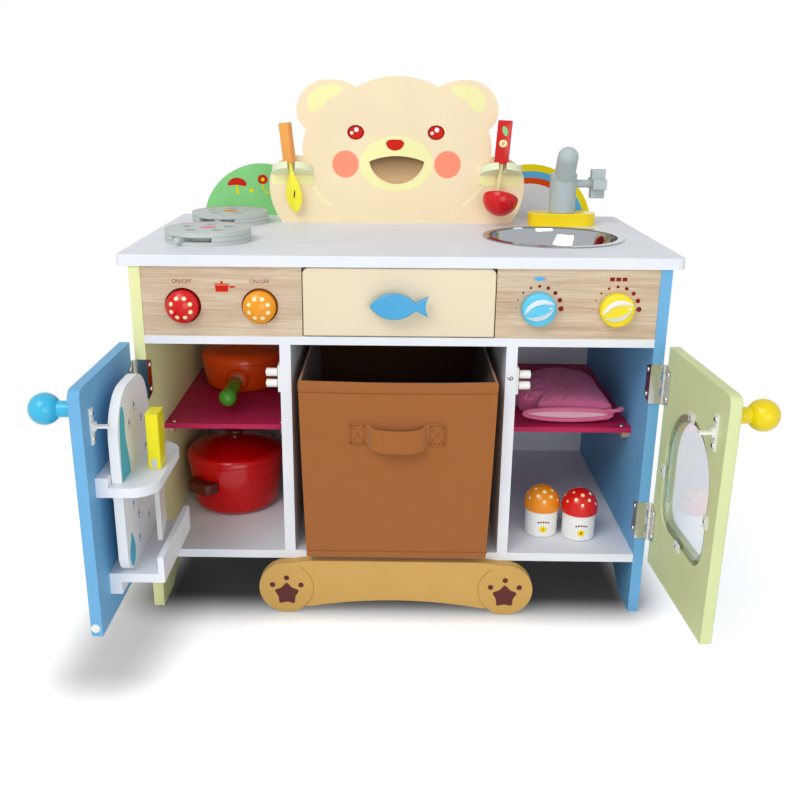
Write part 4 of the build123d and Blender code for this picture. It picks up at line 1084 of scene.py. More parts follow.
class PLAYKITCHEN_OT_splashes(KitchenOperator, Operator):
    """Rainbow bands and small plants on the two low splashboards"""
    bl_idname = "playkitchen.splashes"
    bl_label = "Hill and rainbow"
    RAINBOW = ((85.9, 77.4, "rainbow_yellow"), (77.4, 68.8, "rainbow_blue"),
               (68.8, 60.8, "rainbow_red"), (60.8, 0, "white_paint"))

    def make(self, paints, sizes):
        low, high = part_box("rainbow_panel")
        plane = facing(Vector(((low.x + high.x) / 2, low.y, TOP_Z - 16 * MM)), X, Z)
        foot = 16.4
        for outer, inner, key in self.RAINBOW:
            first = math.degrees(math.asin(foot / outer))
            outline = ring(outer, outer, first, 180 - first)
            if inner:
                first = math.degrees(math.asin(foot / inner))
                inside = arc((0, 0), inner, first, 180 - first, len(outline) - 1)
                printed("rainbow_" + key, [], plane, key, "cabinet", bands=[(outline, inside)])
            else:
                printed("rainbow_" + key, [outline], plane, key, "cabinet")
        low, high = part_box("hill_panel")
        plane = facing(Vector(((low.x + high.x) / 2, low.y, TOP_Z)), X, Z)
        crown = smooth_loop([(-46, 40), (-44, 46), (-36, 50), (-27, 49), (-21, 44), (-22, 39), (-34, 40.5)])
        bush = ring(7, 6.4, centre=(2, 48))
        printed("hill_crowns", [crown, bush], plane, "nose_red", "cabinet")
        stems = [[(-35.4, 28), (-31.6, 28), (-32.6, 40), (-34.6, 40)],
                 [(0.6, 34), (3.4, 34), (2.8, 42), (1.2, 42)]]
        flowers = [ring(2.6, centre=(2, 48)), ring(3.2, 2.8, centre=(-14, 33)), ring(4, 1.5, centre=(8, 31))]
        printed("hill_flowers", stems + flowers, plane, "rainbow_yellow", "cabinet", 1)


class PLAYKITCHEN_OT_plinth(KitchenOperator, Operator):
    """Paw prints on the plinth's round ends"""
    bl_idname = "playkitchen.plinth"
    bl_label = "Plinth"

    def make(self, paints, sizes):
        low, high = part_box("plinth_board")
        plane = facing(Vector(((low.x + high.x) / 2, low.y, 0)), X, Z)
        outlines = []
        for side in (-1, 1):
            paw = (side * 127.0, 30.0)
            pad = [polar(10.5 if i % 2 else 14.5, 90 + 36 * i, (paw[0], paw[1] - 5.5)) for i in range(10)]
            toes = [ring(3.2, centre=polar(out, angle, paw))
                    for angle, out in ((21, 17.8), (90, 15.5), (159, 17.8))]
            outlines += [smooth_loop(pad, 5), *toes]
        printed("plinth_paws", outlines, plane, "paw_print_and_well_shade", "cabinet")


class PLAYKITCHEN_OT_hobs(KitchenOperator, Operator):
    """Coloured middles of the two hobs, and painted shade in their holes"""
    bl_idname = "playkitchen.hobs"
    bl_label = "Hobs"

    def make(self, paints, sizes):
        x = -219
        for tag, y, key in (("front", 97, "disc_pink"), ("rear", 249, "disc_orange")):
            top = top_plane(x, y, 435)
            printed(f"{tag}_hob_middle", [ring(9.5)], top, key, "cabinet")
            printed(f"{tag}_hob_arc", [], top, "rainbow_red", "cabinet",
                    bands=[(ring(44.5, 44.5, 30, 150), ring(43.4, 43.4, 30, 150))])
            # Darker grey circles on the turning disc under the plate's holes: painted shade in the holes.
            holes = [ring(6.45, centre=polar(25, 90 + 72 * i)) for i in range(5)]
            printed(f"{tag}_hob_holes", holes, top_plane(x, y, 429.8), "seam_grey_and_hole_shade", f"{tag}_hob_disc")
            for z in (425, 430):
                turned(f"{tag}_hob_seam_{z}", seam(49.1, 0.4, 0.35), top_plane(x, y, z),
                       painted("seam_grey_and_hole_shade"), "cabinet")


class PLAYKITCHEN_OT_controls(KitchenOperator, Operator):
    """Marks on the front panels, and the dots and marks of the buttons and dials"""
    bl_idname = "playkitchen.controls"
    bl_label = "Buttons and dials"
    PANEL_Y = 1.0
    MIDDLE_Z = 365
    SIGN_Z = 397
    BUTTONS = (("red", -231), ("orange", -148.5))
    DIALS = (("blue", 148.5), ("yellow", 231))
    DIAL_TURN = 20

    def make(self, paints, sizes):
        self.buttons(sizes)
        self.dials(sizes)
        pan = [[(-7, -5), (6, -5), (7, 2), (-8, 2)], rect(-8.6, 2.8, 7.6, 3.9),
               [(7.6, -1), (14, -0.4), (14, 1.2), (7.6, 1.4)], ring(1.6, 1.4, centre=(-0.5, 5.2))]
        blocks = [rect(left, -2, left + 5, 2) for left in (-9, -2.5, 4)]
        fish = smooth_loop([(-6.5, 0), (-3, 2.4), (1, 2.2), (6.5, 0), (1, -2.2), (-3, -2.4)])
        for name, outlines, x, z, key in (("range_sign", pan, -188, 385.5, "nose_red"),
                                          ("oven_sign", blocks, 231, self.SIGN_Z, "print_red"),
                                          ("fish_sign", [fish], 148.5, self.SIGN_Z, "rainbow_blue")):
            printed(name, outlines, front_plane(x, self.PANEL_Y, z), key, "cabinet")
        on_side = front_plane(122.5, 0, 287) @ turned_by(90, "Z")
        self.word("six", "6", on_side, 10.5, "letter_grey")
        # Dark strips behind the gaps round the drawer front: painted shade in the gaps.
        half, low, high = 103, 333, 408
        for x, outline in ((-half, rect(-0.5, low, 0.5, high)), (half, rect(-0.5, low, 0.5, high)),
                           (0, rect(-half, high - 1, half, high))):
            shape = bmesh.new()
            prism_into(shape, outline, front_plane(x, 3, 0), -4, 0)
            new_object(f"drawer_gap_{x}", mesh_from(shape, "drawer_gap_shade"), painted("painted_gap_shade"), "cabinet")

    def buttons(self, sizes):
        """A word over each button, dots round its crown and a dark line of painted shade round its well."""
        half, rise, dots_at, crown_y = 17.5, 8, 11, -14
        radius = (half ** 2 + rise ** 2) / (2 * rise)
        for tag, x in self.BUTTONS:
            self.word(f"on_off_{-x:.0f}", "ON/OFF", front_plane(x, self.PANEL_Y, 391.6), 5.9, "print_red")
            spots = []
            for i in range(8):
                u, v = polar(dots_at, 22.5 + 45 * i)
                out = Vector((u, -math.sqrt(radius ** 2 - dots_at ** 2), v))
                spots.append((at(x, radius + crown_y, self.MIDDLE_Z) + out * MM, out.normalized(),
                              sizes.button_dot))
            repeated(f"{tag}_button_dots", disc_shape(), spots, painted("dot_cream", "gloss"),
                     f"{tag}_button")
            # A thin dark ring at the edge of the button's hole: painted shade in the gap round the button.
            printed(f"{tag}_button_well", [], front_plane(x, self.PANEL_Y, self.MIDDLE_Z), "paw_print_and_well_shade",
                    "cabinet", rings=[(ring(19.5), ring(19.0))])

    def dials(self, sizes):
        """Growing dots round each dial, and the white lens and mark on it."""
        spots = []
        for tag, x in self.DIALS:
            for i in range(9):
                u, v = polar(24, 180 - 22.5 * i, (x, self.MIDDLE_Z))
                spots.append((at(u, self.PANEL_Y, v), -Y, sizes.dial_dot * (0.2 + 0.8 * i / 8)))
            printed(f"{tag}_dial_band", [], front_plane(x, -8.3, self.MIDDLE_Z), "white_paint",
                    f"{tag}_dial", 0, "gloss", rings=[(self.lens(17.1, 11.0), self.lens(14.4, 5.4))])
            mark = ring(1.8, 0.7, centre=polar(11, self.DIAL_TURN), turn=self.DIAL_TURN)
            printed(f"{tag}_dial_mark", [mark], front_plane(x, -15.3, self.MIDDLE_Z), "white_paint",
                    f"{tag}_dial", 0, "gloss")
        repeated("dial_dots", disc_shape(), spots, painted("print_red", "print"), "cabinet")

    def lens(self, half, rise):
        """Two arcs that meet in points, turned as the dials are."""
        radius = (half ** 2 + rise ** 2) / (2 * rise)
        span = math.degrees(math.asin(half / radius))
        points = []
        for way in (1, -1):
            upright = 180 - 90 * way
            points += arc((0, way * (rise - radius)), radius, upright - span, upright + span,
                          2 * bpy.context.scene.kitchen_light.steps)[:-1]
        lean = Matrix.Rotation(math.radians(self.DIAL_TURN), 2)
        return [tuple(lean @ Vector(point)) for point in points]

    def word(self, name, text, place, height, key):
        """Raised generic lettering in Blender's own typeface."""
        curve = bpy.data.curves.new(name, "FONT")
        curve.body = text
        curve.size = height * MM
        curve.align_x = "CENTER"
        curve.align_y = "CENTER"
        curve.extrude = 0.1 * MM
        curve.resolution_u = 3
        mesh = from_curve(name, curve)
        mesh.transform(place)
        new_object(f"letters_{name}", mesh, painted(key, "print"), "cabinet")


class PLAYKITCHEN_OT_bin(KitchenOperator, Operator):
    """The soft storage bin with its hems, handle and stitching"""
    bl_idname = "playkitchen.storage_bin"
    bl_label = "Storage bin"
    FRONT = -18.0
    HEM_LOW = 8.4
    HEM_DOWN = 12.4
    STRAP_Z = 152.7
    STRAP_HALF = 12
    STRAP_DROOP = 6.5
    STRAP_LEAN = 2.6

    def make(self, paints, sizes):
        low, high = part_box("storage_bin")
        self.floor_z = low.z / MM
        self.height = (high.z - low.z) / MM
        self.half = high.x / MM
        self.taper = sizes.bin_taper / MM
        self.back = (high.y - FRONT_Y) / MM
        self.wall = sizes.bin_wall / MM
        suede = cloth("bin_brown", "nap", 0.12, 0.35)
        top, rim, steps = self.height, self.height - 18, 14
        levels = [(4.0, 0.0), (1.0, 0.3), (0.2, 2.0), (0.0, 7.0), (0.5, self.HEM_LOW), (0.0, 10.0)]
        levels += [(0.0, 10 + (top - 24) * i / steps) for i in range(1, steps + 1)]
        levels += [(0.6, top - self.HEM_DOWN), (0.0, top - 11.0), (-0.3, top - 6), (0.0, top - 1.2),
                   (1.0, top), (3.0, top), (self.wall + 0.2, top - 1.4), (self.wall + 0.8, top - 14),
                   (self.wall, rim)]
        levels += [(self.wall, rim * (1 - i / 6) + self.wall * i / 6) for i in range(1, 6)]
        shape = bmesh.new()
        skin(shape, [[shape.verts.new(p) for p in self.loop(inset, z)] for inset, z in levels])
        body = new_object("bin_walls", mesh_from(shape, "bin_walls", 60), suede, "storage_bin",
                          ("storage_bin",))
        # The inner walls and the floor take a far darker brown: painted shade inside the bin.
        body.data.materials.append(cloth("bin_inside_painted_shade", "nap", 0.12, 0.1))
        centre = at(0, (self.FRONT + self.back) / 2, self.floor_z)
        for face in body.data.polygons:
            way = face.center - centre
            inner = face.normal.x * way.x + face.normal.y * way.y < -0.2 * way.length
            floor = face.normal.z > 0.7 and way.z < 20 * MM
            face.material_index = int(inner or floor)
        self.strap(suede)
        self.sewing()

    def loop(self, inset, z):
        """Points round the bin at one height, drawn in by an inset."""
        share = z / self.height
        half = self.half - self.taper * (1 - share) ** 1.2 - inset
        front = self.FRONT + inset + 1.5 * (1 - share)
        sag = 1.6 * share ** 6
        points = []
        per_side = 22
        corners = rect(half, front, -half, self.back - inset)
        corners = [corners[i] for i in (0, 3, 2, 1)]
        for a, b in zip(corners, corners[1:] + corners[:1]):
            a, b = Vector(a), Vector(b)
            way = (b - a).normalized()
            out = Vector((way.y, -way.x))
            for i in range(per_side):
                t = i / per_side
                t -= 0.0495 * math.sin(4 * math.pi * t)
                bow = math.sin(math.pi * t)
                spot = a.lerp(b, t)
                soft = noise.noise(Vector((spot.x, spot.y, z)) * 0.02) * 1.1
                bulge = (0.4 + soft) * bow if inset < self.wall else 0.4 * bow
                round_in = 0.88 * max(0.0, 1 - 60 * t * (1 - t)) if 0 < t < 1 else 0.0
                spot += out * (bulge * (0.4 + 0.6 * math.sin(math.pi * share)) - round_in)
                points.append(at(spot.x, spot.y, self.floor_z + z - sag * bow))
        return points

    def strap(self, suede):
        """The handle: two sewn patches and a drooping loop between them."""
        out_by = [(52, 0.9), (41.6, 1.1), (33.1, 1.1), (29.8, 3), (28.8, 6.5), (23.6, 8.8), (11.3, 10.2)]
        outline = [(-u, self.FRONT - v) for u, v in out_by] + [(0, self.FRONT - 10.6)]
        outline += mirrored(outline[:-1])
        path = [Vector(point) for point in smooth_line(outline, 5)]
        around_it = [(-1, level) for level in (-12, -6, 0, 6, 12)]
        around_it += [(1, level) for _, level in reversed(around_it)]
        shape = bmesh.new()
        rows = []
        for i, middle in enumerate(path):
            way = (path[min(i + 1, len(path) - 1)] - path[max(i - 1, 0)]).normalized()
            out = Vector((way.y, -way.x))
            loose = max(0.0, 1 - (middle.x / 33.0) ** 4)
            row = []
            for side, level in around_it:
                share = level / self.STRAP_HALF
                puff = 0.9 + 0.315 * (1 - share ** 2)
                if abs(share) == 1:
                    puff *= 0.8
                spot = middle + out * (side * puff - self.STRAP_LEAN * loose * share)
                ripple = 0.5 * noise.noise(Vector((middle.x * 0.08, level * 0.1, 3))) * loose
                z = self.floor_z + self.STRAP_Z + level - self.STRAP_DROOP * loose
                row.append(shape.verts.new(at(spot.x, spot.y - ripple, z)))
            rows.append(row)
        skin(shape, rows)
        piece = new_object("bin_handle", mesh_from(shape, "bin_handle", 60), suede, "storage_bin")

    def sewing(self):
        """Stitches along both hems and in the handle's two patches."""
        hems = [self.loop(0.25, z) for z in (self.HEM_LOW, self.height - self.HEM_DOWN)]
        stitched("bin_hem_stitches", [hem + hem[:1] for hem in hems], "stitch_brown", "storage_bin")
        z = self.floor_z + self.STRAP_Z
        patches = []
        for left in (-50.5, 36.0):
            a, b, c, d = (at(x, self.FRONT - 2.2, up) for x, up in rect(left, z - 10, left + 14.5, z + 10))
            patches += [[a, b, c, d, a], [a, c], [b, d]]
        stitched("bin_handle_stitches", patches, "stitch_brown", "storage_bin")


class PLAYKITCHEN_OT_mitt(KitchenOperator, Operator):
    """The quilted oven mitt"""
    bl_idname = "playkitchen.oven_mitt"
    bl_label = "Oven mitt"
    SHARE_BEFORE_PUFF = 0.93
    VOXEL = 4.5
    FURTHEST_MOVE = 4.5
    MIDDLE_DROP = 1.5
    CUFF_HEM = 12
    MOUTH_DEPTH = 14

    def make(self, paints, sizes):
        low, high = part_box("oven_mitt")
        middle = (low + high) / 2
        shape = bmesh.new()
        shape.from_mesh(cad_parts["oven_mitt"].data)
        bmesh.ops.remove_doubles(shape, verts=shape.verts, dist=1e-6)
        for vert in shape.verts:
            vert.co = middle + (vert.co - middle) * self.SHARE_BEFORE_PUFF
        mesh = bpy.data.meshes.new("oven_mitt_pad")
        shape.to_mesh(mesh)
        shape.free()
        pad = linked("oven_mitt_pad", mesh)
        remesh = pad.modifiers.new("Remesh", "REMESH")
        remesh.mode = "VOXEL"
        remesh.voxel_size = self.VOXEL * MM
        self.keep(pad)
        rest = [v.co.copy() for v in pad.data.vertices]
        self.puff(pad)
        furthest = self.FURTHEST_MOVE * MM
        for vert, start in zip(pad.data.vertices, rest):
            move = vert.co - start
            if move.length > furthest:
                move *= furthest / move.length
            vert.co = start + move
            vert.co.z = max(vert.co.z, low.z)
        fine = pad.modifiers.new("Fine", "SUBSURF")
        fine.levels = 2
        fine.render_levels = 2
        self.keep(pad)
        self.middle_z = middle.z - self.MIDDLE_DROP * MM
        self.quilt(pad.data, low, sizes)
        mesh = pad.data
        bpy.data.objects.remove(pad)
        mesh.name = "mitt"
        material = cloth("mitt_pink", "weave", 0.1, 0.25)
        piece = new_object("mitt", smoothed(mesh), material, "oven_mitt", ("oven_mitt",))
        self.cuff(low, high, material)

    def cuff(self, low, high, material):
        """The cuff's open end: its lining, a sewn edge round it and a loop to hang it by."""
        z = self.middle_z / MM
        left, right = low.x / MM + 20, high.x / MM - 8
        middle, half = (left + right) / 2, (right - left) / 2
        y = (low.y - FRONT_Y) / MM
        mouth = ring(half, 6.8, centre=(middle, z))
        shape = bmesh.new()
        prism_into(shape, mouth, front_plane(0, y + 5, 0), -1, 1.5)
        new_object("mitt_lining", mesh_from(shape, "mitt_lining"), cloth("mitt_lining", "weave", 0.1, 0.2),
                   "oven_mitt")
        edge = [at(u, y + 1.5 + 2.5 * ((u - middle) / half) ** 2, v) for u, v in mouth]
        self.cord("mitt_piping", edge + edge[:1], 2.5, material)
        loop = [at(right - 6 + 17 * math.sin(math.pi * t), y + 2 - 9 * math.sin(2 * math.pi * t) * (1 - t),
                   z + 6 - 5 * t + 5 * math.sin(math.pi * t)) for t in (i / 16 for i in range(17))]
        self.cord("mitt_loop", loop, 1.9, material)

    def cord(self, name, path, radius, material):
        """A round sewn edge along a line of points."""
        curve = bpy.data.curves.new(name, "CURVE")
        curve.dimensions = "3D"
        curve.bevel_depth = radius * MM
        curve.bevel_resolution = 3
        curve.use_fill_caps = True
        spline = curve.splines.new("POLY")
        spline.points.add(len(path) - 1)
        for point, spot in zip(spline.points, path):
            point.co = (*spot, 1)
        new_object(name, smoothed(from_curve(name, curve)), material, "oven_mitt")

    def keep(self, thing):
        """Applies the modifiers to the mesh."""
        mesh = evaluated(thing)
        thing.modifiers.clear()
        thing.data = mesh

    def puff(self, pad):
        """Blows the pad up a little as cloth, so that it is rounded unevenly."""
        scene = bpy.context.scene
        last_frame = 20
        blow = pad.modifiers.new("Blow", "CLOTH")
        blow.settings.use_pressure = True
        blow.settings.uniform_pressure_force = 4
        blow.settings.effector_weights.gravity = 0
        blow.point_cache.frame_start = 1
        blow.point_cache.frame_end = last_frame
        for number in range(1, last_frame + 1):
            scene.frame_set(number)
        self.keep(pad)
        scene.frame_set(1)

    def quilt(self, mesh, low, sizes):
        """Presses the diamond lines in, and opens the cuff between its two layers."""
        pitch = sizes.quilt_pitch
        normals = [v.normal.copy() for v in mesh.vertices]
        for vert, normal in zip(mesh.vertices, normals):
            lines = ((vert.co.x + vert.co.y) / pitch, (vert.co.x - vert.co.y) / pitch)
            near = min(abs(line - round(line)) for line in lines) * pitch
            line = math.exp(-(near / (1.5 * MM)) ** 2)
            past_cuff = min(1.0, max(0.0, (vert.co.y - low.y - self.CUFF_HEM * MM) / (6 * MM)))
            vert.co -= normal * sizes.quilt_depth * line * past_cuff * abs(normal.z)
            into = (vert.co.y - low.y) / (8 * MM)
            off_middle = abs(vert.co.z - self.middle_z) / (5.5 * MM)
            if into < 1 and off_middle < 1:
                vert.co.y += self.MOUTH_DEPTH * MM * (1 - off_middle ** 2) * (1 - into)


class PLAYKITCHEN_OT_cookware(KitchenOperator, Operator):
    """The pans with their lids, the shakers, the utensils and the knife"""
    bl_idname = "playkitchen.cookware"
    bl_label = "Cookware"
    GRIP_HALF = 6
    GRIP_Z = 497
    NOTCH_Z = 492

    def make(self, paints, sizes):
        self.saucepan()
        self.stew_pot()
        for node, cap in (("pepper_shaker", "shaker_orange"), ("salt_shaker", "shaker_red")):
            self.shaker(node, cap)
        split_node("knife", [("knife_grip", painted("knife_yellow", "gloss"), "knife_yellow"),
                             ("knife_blade", painted("blade_grey", "plastic"), "knife_yellow")], "knife")
        printed("knife_slot", [rect(-2.8, 222.5, 2.8, 232)], front_plane(-245, -107, 0), "blade_grey",
                "knife")
        self.spatula()
        self.ladle()
        self.board()

    def grip(self, body, half, low, high, place, key):
        """A utensil's flat grip with softened edges, which takes the CAD node's place."""
        shape = bmesh.new()
        prism_into(shape, rect(-half, -self.GRIP_HALF, half, self.GRIP_HALF), place, low, high)
        soften(shape, shape.edges[:], 1.1)
        name = body + "_grip"
        new_object(name, mesh_from(shape, name, 40), painted(key, "gloss"), body, (body,))

    def pot(self, name, part, foot, vessel, lid_z, lid, knob, key, knob_key):
        """A vessel on its own body, and its lid with a knob on another."""
        x, y, _ = foot
        gloss = painted(key, "gloss")
        turned(f"{name}_{part}", self.vessel(**vessel), stand(*foot), gloss, name, (name,))
        turned(name + "_lid_dome", self.lid(**lid), stand(x, y, lid_z), gloss, name + "_lid",
               (name + "_lid",))
        turned(name + "_lid_knob", self.knob(**knob), stand(x, y, lid_z + lid["rise"] - 0.6),
               painted(knob_key, "gloss"), name + "_lid")

    def leaning(self, x, angle):
        """Leans a utensil to its right about the notch that holds it, by an angle in degrees."""
        return (stand(x, 245, self.NOTCH_Z) @ turned_by(angle, "Y")
                @ Matrix.Translation(-Z * self.NOTCH_Z * MM))

    def spatula(self):
        lean = self.leaning(-139, -6) @ turned_by(-24, "Z")
        self.grip("spatula", 6.5, self.GRIP_Z, 546, lean, "spatula_orange")
        rows = []
        shape = bmesh.new()
        for z, half in ((498, 2.6), (486, 2.6), (481, 4.2), (474, 7.6), (464, 10.8), (455, 12.2),
                        (447, 11), (440, 7.4), (435, 3.4), (432.4, 0.6)):
            thick = min(2.4, 0.6 + half * 0.5)
            rows.append(points_into(shape, lean, [(-half, 0, z), (0, -thick, z), (half, 0, z),
                                                  (0, thick * 0.6, z)]))
        skin(shape, rows)
        new_object("spatula_blade", mesh_from(shape, "spatula_blade", 20),
                   painted("spatula_yellow", "gloss"), "spatula")
        facet = lean @ turned_by(11, "Z") @ facing(-Y * 2.1 * MM, X, Z)
        printed("spatula_slot", [ring(1.1, 5.2, centre=(1.8, 457), turn=-12)], facet, "stitch_brown",
                "spatula", 2)

    def ladle(self):
        lean = self.leaning(129.5, 3.6)
        turn = lean @ turned_by(-10, "Z")
        self.grip("ladle", 9, self.GRIP_Z, 550, turn, "ladle_red")
        turned("ladle_shaft", [(0, 448), (2.7, 448), (2.7, 498), (0, 498)], lean,
               painted("ladle_shaft", "gloss"), "ladle", steps=24)
        bowl = arc((0, 0), 22.5, -90, 0, 16) + [(22.1, 1), (21, 1.2), (20.2, 0.4)]
        bowl += arc((0, 0), 20, -4, -90, 14)
        tipped = stand(128.8, 227, 455.5) @ turned_by(11, "Y") @ turned_by(-26, "X")
        turned("ladle_bowl", bowl, tipped, painted("ladle_red", "gloss"), "ladle")
        face = turn @ facing(-Y * self.GRIP_HALF * MM, X, Z)
        leaf = smooth_loop([(2.8, 531), (4.6, 535), (2.6, 541), (-1.6, 543), (-2.6, 539), (-0.4, 533.5)])
        for name, outline, key, layer in (("leaf", leaf, "hill_green", 0),
                                          ("dot", ring(5, 4.6, centre=(0.2, 522)), "bear_patch", 0),
                                          ("dot_middle", ring(1.9, centre=(0.2, 522)), "cheek_pink", 1)):
            printed("ladle_" + name, [outline], face, key, "ladle", layer)

    def board(self):
        """The cutting board: a round-cornered plate with a printed side."""
        near, far, low, high = -144, -31, 120.8, 308.8
        outline = []
        for u, v, r, first in ((far - 40, high - 40, 40, 0), (near + 46, high - 46, 46, 90),
                               (near + 20, low + 20, 20, 180), (far - 20, low + 20, 20, 270)):
            outline += ring(r, r, first, first + 90, centre=(u, v))
        plane = facing(at(-267.9, 0, 0), Y, Z)
        shape = bmesh.new()
        prism_into(shape, outline, plane, -9.6, 0)
        soften(shape, corners_of(shape, 60), 1.4)
        new_object("board", mesh_from(shape, "board", 40), painted("board_white"), "cutting_board",
                   ("cutting_board",))
        blobs = [smooth_loop([(-138, 206), (-141, 232), (-139, 256), (-134, 282), (-126, 294), (-119, 284),
                              (-120, 262), (-115, 242), (-112, 226), (-117, 210), (-128, 201)]),
                 smooth_loop([(-134, 128), (-137, 140), (-132, 150), (-127, 160), (-121, 152), (-117, 140),
                              (-120, 129), (-127, 124)])]
        printed("board_blobs", blobs, plane, "print_blue", "cutting_board")
        marks = []
        for u, v in ((-84, 282), (-104, 270), (-62, 262), (-74, 190), (-112, 186), (-96, 168), (-60, 150),
                     (-100, 142), (-52, 226)):
            marks.append([(u - 2.6, v - 2), (u + 2.6, v - 2), (u, v + 4)])
            marks.append(ring(1.1, centre=(u, v - 5)))
        printed("board_marks", marks, plane, "print_navy", "cutting_board")

    def vessel(self, rim, foot, height, wall, bend):
        """A pan's turned profile, from the middle of its foot to the middle of its inside."""
        outer = [(0, 0), (foot - bend, 0)] + arc((foot - bend + 0.4, bend), bend, -90, -4, 8)
        lip = arc((rim - wall / 2, height - wall / 2), wall / 2, 0, 180, 8)
        inside = arc((foot - bend, bend + 0.5), bend - wall, 0, -90, 6)
        return outer + lip + inside + [(0, wall)]

    def lid(self, radius, edge, rise, wall):
        """A hollow lid: a rolled rim, a round shoulder and a low dome."""
        lines = []
        for out in (0.0, wall):
            r, e, h = radius - out, edge - out, rise - out
            bend = e * 0.9
            ball = ((r - bend) ** 2 + (h - e) ** 2) / (2 * (h - e))
            span = math.degrees(math.asin((r - bend) / ball))
            line = [(r, 0.0)] + arc((r - bend, e - bend), bend, 0, 84, 10)
            line += arc((0, h - ball), ball, 90 - span, 90, 10)[1:]
            lines.append(line)
        return lines[0][::-1] + lines[1]

    def knob(self, radius, height):
        """A round wooden lid knob on a short neck."""
        return ([(0, 0), (radius * 0.6, 0), (radius * 0.52, height * 0.2), (radius * 0.62, height * 0.36)]
                + arc((radius * 0.7, height * 0.68), radius * 0.3, -70, 90) + [(0, height)])

    def saucepan(self):
        self.pot("saucepan", "pan", (-205, 222, 209.8), dict(rim=55, foot=50, height=38, wall=4, bend=8),
                 248.1, dict(radius=56, edge=13, rise=19, wall=2.8), dict(radius=13, height=11),
                 "pan_orange", "leaf_green")
        root = stand(-205, 170.5, 230.7) @ turned_by(90, "X")
        boss = [(0, -1.5), (15.5, -1.5), (15.2, 2), (12.4, 6.0), (11.6, 8.2), (10.6, 9.0), (0, 9.0)]
        ferrule = [(0, 8.6), (7.9, 8.6), (7.9, 9.2), (7.7, 18.6), (7.4, 19.0), (0, 19.0)]
        grip = [(0, 18.8), (8.4, 18.8), (8.9, 19.6), (8.8, 40), (8.4, 62), (8.2, 70)]
        grip += arc((0, 77.5), 10.6, -40, 90, 14)
        for name, profile, key, slot in (("boss", boss, "pan_orange", "pan_orange"),
                                         ("ferrule", ferrule, "tap_grey", "tap_grey"),
                                         ("grip", grip, "leaf_green", "pan_orange")):
            turned("saucepan_" + name, profile, root, painted(key, "gloss"), "saucepan")

    def stew_pot(self):
        foot = (-207, 139, 75.3)
        self.pot("stew_pot", "pot", foot, dict(rim=60, foot=54, height=66, wall=4.5, bend=12),
                 141.6, dict(radius=61, edge=11, rise=22, wall=3.1), dict(radius=12, height=13),
                 "pot_red", "grip_brown")
        out, up, half_thick = 63, 42, 6.5
        outline = [(-9, -18), (3, -19), (9.5, -15), (11, -7), (11, 7), (9.5, 15), (3, 19), (-9, 18)]
        for tag, angle in (("left", 238), ("right", 58)):
            shape = bmesh.new()
            plane = stand(*foot) @ turned_by(angle, "Z") @ Matrix.Translation(Vector((out, 0, up)) * MM)
            prism_into(shape, smooth_loop(outline, 4), plane, -half_thick, half_thick)
            level = [e for e in shape.edges if abs((e.verts[0].co - e.verts[1].co).z) < 1e-7]
            soften(shape, level, 2.2, profile=0.6)
            new_object(f"stew_pot_grip_{tag}", mesh_from(shape, "grip", 50), painted("grip_brown", "gloss"),
                       "stew_pot")

    def shaker(self, node, cap):
        low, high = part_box(node)
        middle = (low + high) / 2
        foot = Matrix.Translation(Vector((middle.x, middle.y, low.z)))
        wall, ball, ball_z = 19.5, 21.4, 38.6
        body = [(0, 0), *arc((17.5, 2), 2, -90, 0, 5), (wall, 30.6), *arc((18.7, 31.0), 0.8, 0, 90, 3),
                (0, 31.8)]
        turned(node + "_body", body, foot, painted("shaker_white", "gloss"), node, (node,))
        dome = [(0, 31.9), (18.4, 31.9)] + arc((19.8, 33.4), 1.6, -100, -30, 4)
        dome += arc((0, ball_z), ball, -5, 90, 22)
        turned(node + "_cap", dome, foot, painted(cap, "gloss"), node)
        spots = []
        for spin, rise, size in ((-152, 62, 1.6), (-118, 40, 2.0), (-88, 58, 2.3), (-62, 38, 2.0),
                                 (-30, 56, 2.1), (-92, 24, 1.7), (-35, 20, 1.5), (-150, 26, 1.5),
                                 (60, 45, 2.1), (120, 50, 2.0), (20, 30, 1.8), (170, 34, 1.9),
                                 (90, 72, 2.0)):
            across, up = polar(1, rise)
            out = Vector((*polar(across, spin), up))
            spots.append((foot @ ((Z * ball_z + out * (ball - 0.05)) * MM), out, size * MM))
        repeated(node + "_dots", disc_shape(), spots, painted("dot_cream", "gloss"), node)
        face = facing(Vector((middle.x, middle.y - wall * MM, low.z)), X, Z)
        petals = [ring(1.9, centre=polar(2.5, 90 + 72 * i, (0, 11))) for i in range(5)]
        row = [ring(1.1, centre=(u, 20.5 - 0.03 * u * u)) for u in (-6, -3, 0, 3, 6)]
        for name, outlines, key, layer in (("petals", petals, "rainbow_yellow", 1),
                                           ("middle", [ring(1.4, centre=(0, 11))], cap, 2),
                                           ("row", row, "print_red", 1)):
            piece = printed(f"{node}_{name}", outlines, face, key, node, layer)
            for vert in piece.data.vertices:
                across = min(abs(vert.co.x - middle.x), 19 * MM)
                vert.co.y += wall * MM - math.sqrt((wall * MM) ** 2 - across ** 2)


